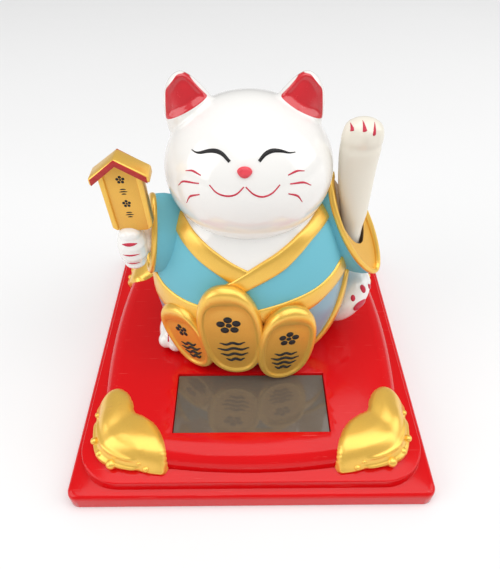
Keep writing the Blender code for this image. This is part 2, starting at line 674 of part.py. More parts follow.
def make_body_shells():
    for front in (True, False):
        shell = body_solid()
        cut(shell, body_solid(-SHELL_WALL), head_solid(GAP))
        combine(shell, half_space(front, BODY_Y), "INTERSECT")
        cut(shell, swing_space(outward=BODY_WIDTH / 2, inward=SHOULDER_ROOM))
        x, y = body_screw_places()[0 if front else 1]
        join(shell, body_post(x, y, -1 if front else 1))
        low = (x, y, BODY_Z - PAST)
        high = (x, y, BODY_Z + POST_HEIGHT - PAST)
        cut(shell, cylinder(SCREW_SHANK / 2 + GAP, low, high, 12))
        if not front:
            for screw_x, z in bracket_screw_places():
                boss = cylinder(BOSS_DIAMETER / 2, (screw_x, BRACKET_BACK_Y + BRACKET_WALL + GAP, z),
                                (screw_x, BODY_Y + BODY_DEPTH, z), 16)
                join(shell, fitted_inside(boss))
                cut(shell, cylinder(SMALL_SHANK / 2 + GAP, (screw_x, BRACKET_BACK_Y, z),
                                    (screw_x, BRACKET_BACK_Y + BRACKET_SCREW_LENGTH + GAP, z), 12))
        name = "body_front_shell" if front else "body_rear_shell"
        finish(shell, name, "robe_blue")


def make_body_screws():
    for number, (x, y) in enumerate(body_screw_places(), 1):
        head_at = (x, y, DECK_UNDER_Z - GAP)
        screw(f"body_screw_{number}", head_at, (0, 0, 1), BODY_SCREW_LENGTH,
              SCREW_SHANK, SCREW_HEAD, SCREW_HEAD_HEIGHT)


# ------------------------------------------------------------------ head
def ear_solid(side):
    """A rounded ear that stands out of the head."""
    root = EAR_TOP - EAR_ROOT_DROP
    rings = []
    for share, width in EAR_STATIONS:
        z = root + share * EAR_ROOT_DROP
        centre_x = EAR_SHIFT + side * (EAR_SPREAD - EAR_SPLAY * (1 - share))
        centre_y = HEAD_CENTRE.y + HEAD_SEAM
        rings.append([
            Vector((centre_x + EAR_WIDTH / 2 * width * math.cos(a),
                    centre_y + EAR_DEPTH / 2 * width * math.sin(a), z))
            for a in [2 * math.pi * step / EAR_SEGMENTS for step in range(EAR_SEGMENTS)]
        ])
    return loft(rings, "ear")


def make_head_shells():
    for front in (True, False):
        shell = head_solid()
        join(shell, ear_solid(-1), ear_solid(1))
        cut(shell, head_solid(-SHELL_WALL, 16, 8))
        combine(shell, half_space(front, HEAD_CENTRE.y + HEAD_SEAM), "INTERSECT")
        finish(shell, "head_front_shell" if front else "head_rear_shell", "white_gloss")


# ------------------------------------------------------------------ sleeves, paws, board
HORN_STEPS = 20
# share of the depth behind the mouth, share of the mouth's size
HORN_STATIONS = ((0.0, 1.0), (0.25, 1.03), (0.6, 0.95), (1.0, 0.72))
HORN_POINT = 0.18                   # how far the mouth is pinched from an ellipse towards an almond


def horn(centre, long_axis, facing, half_length, half_width, depth, grow=0.0):
    """A sleeve: an almond mouth, carried back into the body while it narrows."""
    long_axis = Vector(long_axis).normalized()
    facing = Vector(facing)
    facing = (facing - long_axis * facing.dot(long_axis)).normalized()
    wide_axis = facing.cross(long_axis)
    rings = []
    for share, scale in HORN_STATIONS:
        middle = Vector(centre) - facing * (depth * share - grow * (1 - share))
        ring = []
        for step in range(HORN_STEPS):
            angle = 2 * math.pi * step / HORN_STEPS
            wide = math.sin(angle) * (1 - HORN_POINT + HORN_POINT * abs(math.sin(angle)))
            ring.append(middle + long_axis * (half_length * scale + grow) * math.cos(angle)
                        + wide_axis * (half_width * scale + grow) * wide)
        rings.append(ring)
    return loft(rings, "horn")


LEFT_SLEEVE = dict(
    centre=PIVOT + Vector((0.5, -1.4, 8.6)) * MM,
    long_axis=(0.47, -0.18, -0.86), facing=(0.69, -0.53, 0.49),
    half_length=16.5 * MM, half_width=6.6 * MM, depth=14 * MM,
)
RIGHT_SLEEVE = dict(
    centre=Vector((-BODY_WIDTH / 2, BODY_Y, BODY_TOP)) + Vector((2.1, -4.93, -10.1)) * MM,
    long_axis=(-0.16, -0.12, -0.98), facing=(-0.95, -0.22, 0.18),
    half_length=11.8 * MM, half_width=7.6 * MM, depth=12 * MM,
)
LINING_SINK = 1.3 * MM
LINING_WALL = 1.1 * MM
SLEEVE_WALL = 1.1 * MM
MOUTH_RISE = 2 * MM                 # the mouth's cut starts this far outside it


def inner_horn(spec, sink, shrink):
    """The horn's inside, starting sink below the mouth."""
    facing = Vector(spec["facing"])
    long_axis = Vector(spec["long_axis"]).normalized()
    facing = (facing - long_axis * facing.dot(long_axis)).normalized()
    inner = dict(spec)
    inner["centre"] = spec["centre"] - facing * sink
    inner["half_length"] = spec["half_length"] - shrink
    inner["half_width"] = spec["half_width"] - shrink
    return inner


def make_sleeve(name, spec, opening):
    """A hollow sleeve with a rim, a sunken lining and an opening in the lining."""
    sleeve = horn(**spec)
    mouth = dict(inner_horn(spec, -MOUTH_RISE, SLEEVE_WALL), depth=MOUTH_RISE + LINING_SINK)
    cut(sleeve, horn(**mouth))
    cut(sleeve, horn(**inner_horn(spec, LINING_SINK + LINING_WALL, SLEEVE_WALL)))
    cut(sleeve, body_solid(GAP), head_solid(GAP), opening)
    return finish(sleeve, name, "gold_paint")


RIGHT_FOOT_CENTRE = Vector((-BODY_WIDTH / 2, BODY_Y, BODY_Z)) + Vector((4.4, -8.0, 4.4)) * MM
RIGHT_FOOT_RADII = Vector((6.4, 8.2, 5.0)) * MM
LEFT_FOOT_CENTRE = Vector((BODY_WIDTH / 2, BODY_Y, BODY_Z)) + Vector((1.6, -0.8, 12.2)) * MM
LEFT_FOOT_RADII = Vector((5.6, 7.4, 11.0)) * MM
LEFT_FOOT_LEAN_DEGREES = 28

PAW_CENTRE = RIGHT_SLEEVE["centre"] + Vector((-3.7, -7.07, 2.1)) * MM
PAW_RADII = Vector((3.9, 4.4, 6.6)) * MM
WRIST_DIAMETER = 6.4 * MM
WRIST_START = Vector((1.0, 1.0, -0.5)) * MM     # from the paw's centre
WRIST_END = Vector((6.0, 4.0, -1.0)) * MM       # from the sleeve's mouth
BOARD_TILT_DEGREES = 3
SIGN_WIDTH = 10.4 * MM
SIGN_HEIGHT = 14.0 * MM
SIGN_THICKNESS = 3.4 * MM
ROOF_WIDTH = 14.4 * MM
ROOF_RISE = 4.6 * MM
ROOF_DEPTH = 5.2 * MM
ROOF_THICKNESS = 2.0 * MM
SIGN_CHAMFER = 1.6 * MM
SIGN_SHIFT = 1.4 * MM               # towards the body from the paw's centre
SIGN_SEAT = 1.02                    # share of the paw's height where the sign's foot sits


def right_paw_solid(grow=0.0):
    """The closed right paw and the wrist that plugs into its sleeve."""
    paw = ellipsoid(PAW_CENTRE, PAW_RADII + Vector((grow, grow, grow)), 16, 10)
    wrist = cylinder(WRIST_DIAMETER / 2 + grow, PAW_CENTRE + WRIST_START, RIGHT_SLEEVE["centre"] + WRIST_END)
    return join(paw, wrist)


def make_right_paw():
    paw = cut(right_paw_solid(), body_solid(GAP))
    return finish(paw, "right_paw", "white_gloss")


def make_wish_board():
    """A shrine-shaped board that stands on the closed paw, leaning outwards."""
    half = SIGN_WIDTH / 2
    eave = ROOF_WIDTH / 2
    shoulder = SIGN_HEIGHT + ROOF_RISE * (1 - half / eave)
    apex = SIGN_HEIGHT + ROOF_RISE
    plate = prism(
        [(-half, 0), (-half + SIGN_CHAMFER, -SIGN_CHAMFER), (half - SIGN_CHAMFER, -SIGN_CHAMFER), (half, 0),
         (half, shoulder), (0, apex), (-half, shoulder)],
        "Y", -SIGN_THICKNESS / 2, SIGN_THICKNESS / 2)
    skin = ROOF_THICKNESS / 2
    roof = prism(
        [(-eave, SIGN_HEIGHT - skin), (0, apex - skin), (eave, SIGN_HEIGHT - skin),
         (eave, SIGN_HEIGHT + skin), (0, apex + skin), (-eave, SIGN_HEIGHT + skin)],
        "Y", -ROOF_DEPTH / 2, ROOF_DEPTH / 2)
    join(plate, roof)
    place = Matrix.Translation(PAW_CENTRE + Vector((SIGN_SHIFT, 0, PAW_RADII.z * SIGN_SEAT))) @ Matrix.Rotation(
        math.radians(-BOARD_TILT_DEGREES), 4, "Y")
    plate.data.transform(place)
    cut(plate, ellipsoid(PAW_CENTRE, PAW_RADII + Vector((GAP, GAP, GAP)), 16, 10))
    return finish(plate, "wish_board", "gold_paint")


def right_foot_solid(grow=0.0):
    """The ball of the right foot, which peeps out from under the hem."""
    return ellipsoid(RIGHT_FOOT_CENTRE, RIGHT_FOOT_RADII + Vector((grow, grow, grow)), 16, 10)


def left_foot_solid(grow=0.0):
    """The left foot, raised on its heel so that its sole shows."""
    turn = Matrix.Rotation(math.radians(LEFT_FOOT_LEAN_DEGREES), 4, "Y")
    return ellipsoid(LEFT_FOOT_CENTRE, LEFT_FOOT_RADII + Vector((grow, grow, grow)), 16, 10, turn)


def make_feet():
    for name, foot in (("right_foot", right_foot_solid()), ("left_foot", left_foot_solid())):
        cut(foot, body_solid(GAP), base_solid(GAP))
        finish(foot, name, "white_gloss")


def coin(width, height, x, forward, rise, tilt_degrees, turn_degrees):
    """An oval coin standing on its end, with a raised rim on its front."""
    def oval(y, trim=0.0):
        return [Vector(((width * MM / 2 - trim) * math.cos(a), y, (height * MM / 2 - trim) * math.sin(a)))
                for a in [2 * math.pi * step / COIN_SEGMENTS for step in range(COIN_SEGMENTS)]]

    front = -COIN_THICKNESS / 2
    rings = [
        oval(COIN_THICKNESS / 2), oval(front + COIN_EDGE), oval(front, COIN_EDGE), oval(front, COIN_RIM),
        oval(front + COIN_RECESS, COIN_RIM + COIN_RECESS),
    ]
    obj = loft(rings, "coin")
    centre = Vector((x * MM, BODY_Y - BODY_DEPTH / 2 - forward * MM, BODY_Z + rise * MM))
    obj.data.transform(Matrix.Translation(centre) @ Matrix.Rotation(math.radians(turn_degrees), 4, "Z")
                       @ Matrix.Rotation(math.radians(tilt_degrees), 4, "Y"))
    return obj


def make_coins():
    cluster = join(coin(*MIDDLE_COIN), coin(*RIGHT_COIN), coin(*LEFT_COIN))
    cut(cluster, body_solid(GAP), base_solid(GAP), right_foot_solid(GAP))
    return finish(cluster, "coin_cluster", "gold_paint")


# ------------------------------------------------------------------ arm and drive
def arm_rings(shrink):
    rings = []
    for rise, aside, forward, wide, deep in ARM_STATIONS:
        middle = PIVOT + Vector((aside, -forward, rise)) * MM
        half_width = max(ARM_ROOT_WIDTH / 2 * wide - shrink, ARM_CORE)
        half_depth = max(ARM_ROOT_DEPTH / 2 * deep - shrink, ARM_CORE)
        rings.append([
            middle + Vector((half_width * math.cos(a), half_depth * math.sin(a), 0))
            for a in [2 * math.pi * step / ARM_SEGMENTS for step in range(ARM_SEGMENTS)]
        ])
    return rings


def make_arm():
    arm = loft(arm_rings(0), "arm")
    inside = arm_rings(ARM_WALL)[1:-1]
    inside[0] = [point - Vector((0, 0, ARM_ROOT_DEPTH / 2)) for point in inside[0]]
    cut(arm, loft(inside, "arm_hollow"))
    across = Vector((ARM_ROOT_WIDTH, 0, 0))
    cut(arm, cylinder(AXLE_DIAMETER / 2 + GAP, PIVOT - across, PIVOT + across, 16))
    return finish(arm, "waving_arm", "arm_cream")


def make_axle():
    outer = PIVOT.x + ARM_ROOT_WIDTH / 2 * ARM_NECK + AXLE_STUB
    axle = cylinder(AXLE_DIAMETER / 2, (AXLE_END, PIVOT.y, PIVOT.z), (outer, PIVOT.y, PIVOT.z), 16)
    return finish(axle, "arm_axle", "steel")


def make_lever():
    half_hub = HUB_LENGTH / 2
    hub_ends = (LEVER_X - half_hub, PIVOT.y, PIVOT.z), (LEVER_X + half_hub, PIVOT.y, PIVOT.z)
    lever = cylinder(HUB_DIAMETER / 2, *hub_ends, 20)
    plate_top = MAGNET_Z + MAGNET_THICKNESS + GAP
    length = PIVOT.z - plate_top
    join(lever, box((LEVER_THICKNESS, LEVER_WIDTH, length), (LEVER_X, PIVOT.y, PIVOT.z - length / 2)))
    join(lever, cylinder(MAGNET_DIAMETER / 2, (LEVER_X, PIVOT.y, plate_top),
                         (LEVER_X, PIVOT.y, plate_top + MAGNET_PLATE), 20))
    cut(lever, cylinder(AXLE_DIAMETER / 2 + GAP, (LEVER_X - HUB_LENGTH, PIVOT.y, PIVOT.z),
                        (LEVER_X + HUB_LENGTH, PIVOT.y, PIVOT.z), 16))
    return finish(lever, "pendulum_lever", "bracket_white")


def make_magnet():
    magnet = cylinder(MAGNET_DIAMETER / 2, (LEVER_X, PIVOT.y, MAGNET_Z),
                      (LEVER_X, PIVOT.y, MAGNET_Z + MAGNET_THICKNESS), 24)
    return finish(magnet, "pendulum_magnet", "steel")


def bracket_screw_places():
    """X and Z of the screws that hold the bracket to the rear shell."""
    return [(LEVER_X + side * BRACKET_SCREW_PITCH, PIVOT.z) for side in (-1, 1)]


def make_bracket():
    width = 2 * (BRACKET_SCREW_PITCH + BRACKET_MARGIN)
    back = box((width, BRACKET_WALL, BRACKET_HEIGHT), (LEVER_X, BRACKET_BACK_Y + BRACKET_WALL / 2, PIVOT.z))
    front_y = PIVOT.y - BRACKET_MARGIN
    depth = BRACKET_BACK_Y + BRACKET_WALL / 2 - front_y
    for side, x in zip((-1, 1), CHEEK_X):
        cheek = box((BRACKET_WALL, depth, BRACKET_HEIGHT * 0.6),
                    (x + side * BRACKET_WALL / 2, front_y + depth / 2, PIVOT.z))
        join(back, cheek)
    cut(back, cylinder(AXLE_DIAMETER / 2 + GAP, (CHEEK_X[0] - 2 * BRACKET_WALL, PIVOT.y, PIVOT.z),
                       (CHEEK_X[1] + 2 * BRACKET_WALL, PIVOT.y, PIVOT.z), 16))
    for x, z in bracket_screw_places():
        cut(back, cylinder(SMALL_SHANK / 2 + GAP, (x, BRACKET_BACK_Y - PAST, z),
                           (x, BRACKET_BACK_Y + BRACKET_WALL + PAST, z), 12))
    finish(back, "pivot_bracket", "bracket_white")
    for number, (x, z) in enumerate(bracket_screw_places(), 1):
        screw(f"bracket_screw_{number}", (x, BRACKET_BACK_Y - GAP, z), (0, 1, 0), BRACKET_SCREW_LENGTH,
              SMALL_SHANK, SMALL_HEAD, SMALL_HEAD_HEIGHT)


# ------------------------------------------------------------------ electronics
def board_screw_places():
    """Plan positions of the circuit board's screws."""
    reach = BOARD_WIDTH / 2 - BOARD_SCREW_INSET
    return [(LEVER_X - reach, PIVOT.y), (LEVER_X + reach, PIVOT.y)]


def make_board():
    board = box((BOARD_WIDTH, BOARD_DEPTH, BOARD_THICKNESS), (LEVER_X, PIVOT.y, BOARD_Z + BOARD_THICKNESS / 2))
    for x, y in board_screw_places():
        low = (x, y, BOARD_Z - PAST)
        high = (x, y, BOARD_Z + BOARD_THICKNESS + PAST)
        cut(board, cylinder(SMALL_SHANK / 2 + GAP, low, high, 12))
    finish(board, "circuit_board", "board_green")
    for number, (x, y) in enumerate(board_screw_places(), 1):
        head_at = (x, y, BOARD_Z + BOARD_THICKNESS + GAP)
        screw(f"board_screw_{number}", head_at, (0, 0, -1), BOARD_SCREW_LENGTH,
              SMALL_SHANK, SMALL_HEAD, SMALL_HEAD_HEIGHT)


def make_coil():
    middle = Vector((LEVER_X, PIVOT.y, COIL_Z))
    top = middle + Vector((0, 0, COIL_HEIGHT))
    bobbin = cylinder(COIL_CORE / 2, middle, top, 20)
    join(bobbin, cylinder(COIL_DIAMETER / 2, middle, middle + Vector((0, 0, BOBBIN_FLANGE)), 24))
    join(bobbin, cylinder(COIL_DIAMETER / 2, top - Vector((0, 0, BOBBIN_FLANGE)), top, 24))
    finish(bobbin, "coil_bobbin", "bracket_white")
    low = middle + Vector((0, 0, BOBBIN_FLANGE + GAP))
    high = top - Vector((0, 0, BOBBIN_FLANGE + GAP))
    winding = cylinder(COIL_DIAMETER / 2 - BOBBIN_FLANGE, low, high, 24)
    cut(winding, cylinder(COIL_CORE / 2 + GAP, low - Vector((0, 0, PAST)), high + Vector((0, 0, PAST)), 20))
    finish(winding, "coil_winding", "copper")


def make_chip_and_capacitor():
    top = BOARD_Z + BOARD_THICKNESS + GAP
    spare = (BOARD_WIDTH - COIL_DIAMETER) / 4
    chip_x = LEVER_X + COIL_DIAMETER / 2 + spare - PART_SHIFT
    chip = box(CHIP_SIZE, (chip_x, PIVOT.y - CHIP_FORWARD, top + CHIP_SIZE[2] / 2))
    finish(chip, "driver_chip", "black_plastic")
    cap_x = LEVER_X - COIL_DIAMETER / 2 - spare + PART_SHIFT
    start = Vector((cap_x, PIVOT.y + CAPACITOR_BACK, top + CAPACITOR_DIAMETER / 2))
    capacitor = cylinder(CAPACITOR_DIAMETER / 2, start, start + Vector((0, CAPACITOR_LENGTH, 0)), 20)
    finish(capacitor, "storage_capacitor", "black_plastic")


def make_lead(name, start, end, material_name):
    """A thin insulated wire that sags from the cell to the board."""
    curve = bpy.data.curves.new(name, "CURVE")
    curve.dimensions = "3D"
    curve.bevel_depth = LEAD_DIAMETER / 2
    curve.bevel_resolution = 1
    curve.use_fill_caps = True
    spline = curve.splines.new("POLY")
    count = 14
    spline.points.add(count - 1)
    for index, point in enumerate(spline.points):
        share = index / (count - 1)
        place = start.lerp(end, share)
        place.z = start.z + (end.z - start.z) * (3 * share ** 2 - 2 * share ** 3)
        point.co = (*place, 1)
    guide = bpy.data.objects.new(name + "_route", curve)
    bpy.context.collection.objects.link(guide)
    bpy.context.view_layer.update()
    mesh = bpy.data.meshes.new_from_object(guide.evaluated_get(bpy.context.evaluated_depsgraph_get()))
    bpy.data.objects.remove(guide, do_unlink=True)
    bm = bmesh.new()
    bm.from_mesh(mesh)
    bpy.data.meshes.remove(mesh)
    bmesh.ops.remove_doubles(bm, verts=bm.verts, dist=WELD)
    finish(add_object(name, bm), name, material_name)


def make_leads():
    cell_under = CELL_TOP_Z - CELL_THICKNESS - GAP - LEAD_DIAMETER / 2
    board_top = BOARD_Z + BOARD_THICKNESS + GAP + LEAD_DIAMETER / 2
    board_front = PIVOT.y - BOARD_DEPTH / 2 + LEAD_INSET
    for name, x, colour in (("lead_red", LEAD_X[0], "lead_red"), ("lead_black", LEAD_X[1], "black_plastic")):
        make_lead(name, Vector((x, CELL_Y, cell_under)), Vector((x, board_front, board_top)), colour)


def main():
    clear_scene()
    make_base_shell()
    make_bottom_cover()
    make_cover_screws()
    make_solar_cell()
    make_ornaments()
    make_body_shells()
    make_body_screws()
    make_head_shells()
    make_sleeve("left_sleeve", LEFT_SLEEVE, swing_space())
    make_sleeve("right_sleeve", RIGHT_SLEEVE, right_paw_solid(GAP))
    make_right_paw()
    make_wish_board()
    make_feet()
    make_coins()
    make_arm()
    make_axle()
    make_lever()
    make_magnet()
    make_bracket()
    make_board()
    make_coil()
    make_chip_and_capacitor()
    make_leads()


main()
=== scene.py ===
"""Beckoning cat figurine: shapes and finishes built around the packed model.

Laid out as an add-on and run as a script. Lengths are in metres, in the frame's own axes:
+X is the cat's left, -Y is its front and +Z is up.
"""

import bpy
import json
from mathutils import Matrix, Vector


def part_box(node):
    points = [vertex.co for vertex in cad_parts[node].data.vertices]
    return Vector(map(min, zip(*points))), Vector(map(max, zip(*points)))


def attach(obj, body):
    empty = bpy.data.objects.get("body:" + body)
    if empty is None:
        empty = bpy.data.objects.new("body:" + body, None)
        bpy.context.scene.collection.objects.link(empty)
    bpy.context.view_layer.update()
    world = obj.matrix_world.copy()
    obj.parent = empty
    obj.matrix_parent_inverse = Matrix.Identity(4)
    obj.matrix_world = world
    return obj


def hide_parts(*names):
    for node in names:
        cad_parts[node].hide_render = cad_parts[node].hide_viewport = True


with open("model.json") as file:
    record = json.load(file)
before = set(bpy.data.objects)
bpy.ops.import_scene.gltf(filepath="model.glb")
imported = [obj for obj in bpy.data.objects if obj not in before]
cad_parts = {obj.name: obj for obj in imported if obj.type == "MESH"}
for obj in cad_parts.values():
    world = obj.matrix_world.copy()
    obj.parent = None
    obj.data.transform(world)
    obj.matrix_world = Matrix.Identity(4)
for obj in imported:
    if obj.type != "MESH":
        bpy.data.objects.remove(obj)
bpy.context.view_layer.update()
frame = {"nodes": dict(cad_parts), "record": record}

import json
import math

import bmesh
import bpy
from mathutils import Euler, Matrix, Vector

bl_info = {
    "name": "Beckoning Cat Figurine",
    "version": (1, 0, 0),
    "blender": (4, 5, 0),
    "location": "3D View > Sidebar > Figurine",
    "description": "Builds a waving cat on a cushion base, with its painted finishes and its stage",
    "category": "Object",
}

MM = 0.001
BASE_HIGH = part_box("base_shell")[1]
CELL_LOW, CELL_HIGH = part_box("solar_cell")
AXLE_LOW, AXLE_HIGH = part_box("arm_axle")
MAGNET_LOW, MAGNET_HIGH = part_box("pendulum_magnet")
FIGURINE = "figurine"
ARM = "arm"

# ------------------------------------------------------------------ places that the CAD model fixes
BODY_CENTRE_Y = 4 * MM
BODY_WIDTH = 58 * MM
BODY_DEPTH = 44 * MM
BODY_HEIGHT = 51 * MM
BODY_FOOT = BASE_HIGH.z + 0.3 * MM
HEAD_CENTRE = Vector((-0.35, 3.0, 75.6)) * MM
HEAD_RADII = Vector((21.2, 18.75, 18.3)) * MM
HEAD_JAW = 19.1 * MM                # height of the head below its centre
PIVOT = Vector((28.3 * MM, (AXLE_LOW.y + AXLE_HIGH.y) / 2, (AXLE_LOW.z + AXLE_HIGH.z) / 2))
SWING = math.radians(14)
PAW_CENTRE = Vector((-30.6, -8.0, 59.2)) * MM
PAW_RADII = Vector((3.9, 4.4, 6.6)) * MM

# share of the height, of the half width and of the half depth
BODY_STATIONS = (
    (0.00, 0.74, 0.86), (0.06, 0.86, 0.93), (0.16, 0.95, 0.98), (0.32, 1.00, 1.00), (0.48, 1.00, 0.98),
    (0.64, 0.965, 0.94), (0.78, 0.885, 0.87), (0.90, 0.77, 0.78), (1.00, 0.60, 0.66),
)
# height above the pivot, sideways lean, forward lean, half width and half depth, in millimetres
ARM_STATIONS = (
    (-3.2, 0.0, 0.0, 1.66, 1.47), (-2.2, 0.0, 0.0, 2.38, 2.11), (0.5, 0.0, 0.0, 2.74, 2.43),
    (7.0, 0.0, 0.0, 2.81, 2.50), (12.0, -0.3, 0.0, 3.6, 2.94), (19.0, -1.0, 0.1, 4.32, 3.3),
    (27.0, -1.6, 0.5, 4.82, 3.65),
    (32.5, -1.8, 1.2, 5.04, 3.97), (36.4, -1.9, 1.9, 4.82, 3.97), (38.6, -2.0, 2.2, 3.96, 3.39),
    (39.7, -2.0, 2.3, 2.02, 1.79),
)
# the room that the arm sweeps, in millimetres: its least half width and half depth, and its gap to the arm
ARM_NECK = (2.81, 2.50)
ARM_CLEARANCE = 0.7


# ------------------------------------------------------------------ what a user would change
def length(name, description, default):
    """A length property in metres."""
    return bpy.props.FloatProperty(name=name, description=description, default=default, min=0.0,
                                   subtype="DISTANCE", unit="LENGTH", precision=5)


def colour(name, description, default):
    """A colour property."""
    return bpy.props.FloatVectorProperty(name=name, description=description, default=default, size=3,
                                         min=0.0, max=1.0, subtype="COLOR")


class CAT_PG_base(bpy.types.PropertyGroup):
    """Sizes and colour of the cushion base."""
    flange_height: length("Flange height", "Height of the square flange at the foot", 6.0 * MM)
    flange_radius: length("Flange corner", "Plan radius of the flange's corners", 3.0 * MM)
    step_inset: length("Step inset", "From the flange's foot to the step's wall", 2.5 * MM)
    step_height: length("Step height", "Height of the step on the flange", 3.6 * MM)
    cushion_inset: length("Cushion inset", "From the flange's foot to the cushion's foot", 5.3 * MM)
    cushion_bulge: length("Cushion bulge", "How far the cushion's sides swell", 2.6 * MM)
    cushion_round: length("Cushion roll", "How far the cushion's rim rolls in", 5.6 * MM)
    edge_round: length("Flange rounding", "Rounding of the flange's top edge", 1.5 * MM)
    step_round: length("Step rounding", "Rounding of the step's edge", 0.6 * MM)
    red: colour("Base red", "Colour of the base's plastic", (0.66, 0.003, 0.005))


class CAT_PG_gold(bpy.types.PropertyGroup):
    """The gold paint and the ornaments that carry it."""
    gold: colour("Gold", "Colour of the gold paint", (0.95, 0.59, 0.10))
    relief: length("Ornament relief", "How far the corner ornaments stand off the cushion", 1.5 * MM)
    bead: length("Bead size", "Radius of the beads at the ornaments' corners", 1.55 * MM)
    ridge: length("Ridge height", "Height of the scroll ridges", 0.7 * MM)


class CAT_PG_robe(bpy.types.PropertyGroup):
    """The robe, its collar and its hems."""
    robe: colour("Robe", "Colour of the robe", (0.06, 0.50, 0.64))
    # the lower robe's colour is painted shade: a greyer, darker blue for the body below the hems
    robe_painted_shade: colour("Robe shade", "Colour of the robe's lower layer", (0.22, 0.40, 0.50))
    band_relief: length("Band relief", "How far the gold bands stand proud of the robe", 0.55 * MM)
    wall: length("Body wall", "Thickness of the body's shell", 1.5 * MM)


class CAT_PG_cat(bpy.types.PropertyGroup):
    """The cat's coat and its painted features."""
    white: colour("White", "Colour of the glossy head and paws", (0.90, 0.885, 0.855))
    cream: colour("Arm cream", "Colour of the waving arm", (0.94, 0.90, 0.71))
    ear_red: colour("Ear red", "Colour inside the ears", (0.62, 0.012, 0.022))
    line_red: colour("Line red", "Colour of the mouth, whiskers and claws", (0.58, 0.02, 0.055))
    nose_red: colour("Nose red", "Colour of the nose", (0.78, 0.06, 0.085))
    eye_width: length("Eye line", "Half width of the closed eyes' lines", 0.50 * MM)
    whisker_width: length("Whisker line", "Half width of the whiskers and the mouth", 0.22 * MM)
    ear_hollow: length("Ear hollow", "Depth of the red hollow in the ears", 0.9 * MM)


class CAT_PG_coins(bpy.types.PropertyGroup):
    """The oval coins and the wish board."""
    thickness: length("Coin thickness", "Thickness of each coin", 3.6 * MM)
    rim: length("Coin rim", "Width of the raised rim", 1.5 * MM)
    recess: length("Coin recess", "Depth of the recessed face", 0.55 * MM)
    ink: colour("Ink", "Colour of the painted motifs", (0.006, 0.005, 0.006))
    roof_red: colour("Roof band", "Colour of the band under the board's roof", (0.47, 0.018, 0.016))


class CAT_PG_stage(bpy.types.PropertyGroup):
    """Floor, lights and camera."""
    floor: colour("Floor", "Colour of the floor", (0.84, 0.84, 0.84))
    key: bpy.props.FloatProperty(
        name="Key light", description="Strength that the three soft lights share out", default=0.49, min=0.0)
    fill: bpy.props.FloatProperty(
        name="Surroundings", description="Brightness of the surroundings", default=0.35, min=0.0)
    lens: bpy.props.FloatProperty(
        name="Lens", description="Focal length", default=30.78, min=1.0, unit="CAMERA")


SETTINGS = (
    ("cat_base", CAT_PG_base), ("cat_gold", CAT_PG_gold), ("cat_robe", CAT_PG_robe), ("cat_coat", CAT_PG_cat),
    ("cat_coins", CAT_PG_coins), ("cat_stage", CAT_PG_stage),
)


# ------------------------------------------------------------------ materials
def pick(sockets, identifier):
    """The socket with that identifier, where several share a name."""
    return next(socket for socket in sockets if socket.identifier == identifier)


class Value:
    """One number socket, so that sums on it read as plain expressions."""

    def __init__(self, paint, socket):
        self.paint = paint
        self.socket = socket

    def __add__(self, other):
        return self.paint.maths("ADD", self, other)

    def __sub__(self, other):
        return self.paint.maths("SUBTRACT", self, other)

    def __rsub__(self, other):
        return self.paint.maths("SUBTRACT", other, self)

    def __mul__(self, other):
        return self.paint.maths("MULTIPLY", self, other)

    def __truediv__(self, other):
        return self.paint.maths("DIVIDE", self, other)

    def __abs__(self):
        return self.paint.maths("ABSOLUTE", self)

    __radd__ = __add__
    __rmul__ = __mul__

    def above(self, edge, soft):
        """1 where the value is over edge, 0 where it is under, with a soft step between."""
        ramp = self.paint.node("ShaderNodeMapRange", {"interpolation_type": "SMOOTHSTEP"},
                               {"Value": self, "From Min": edge - soft, "From Max": edge + soft})
        return Value(self.paint, ramp.outputs["Result"])


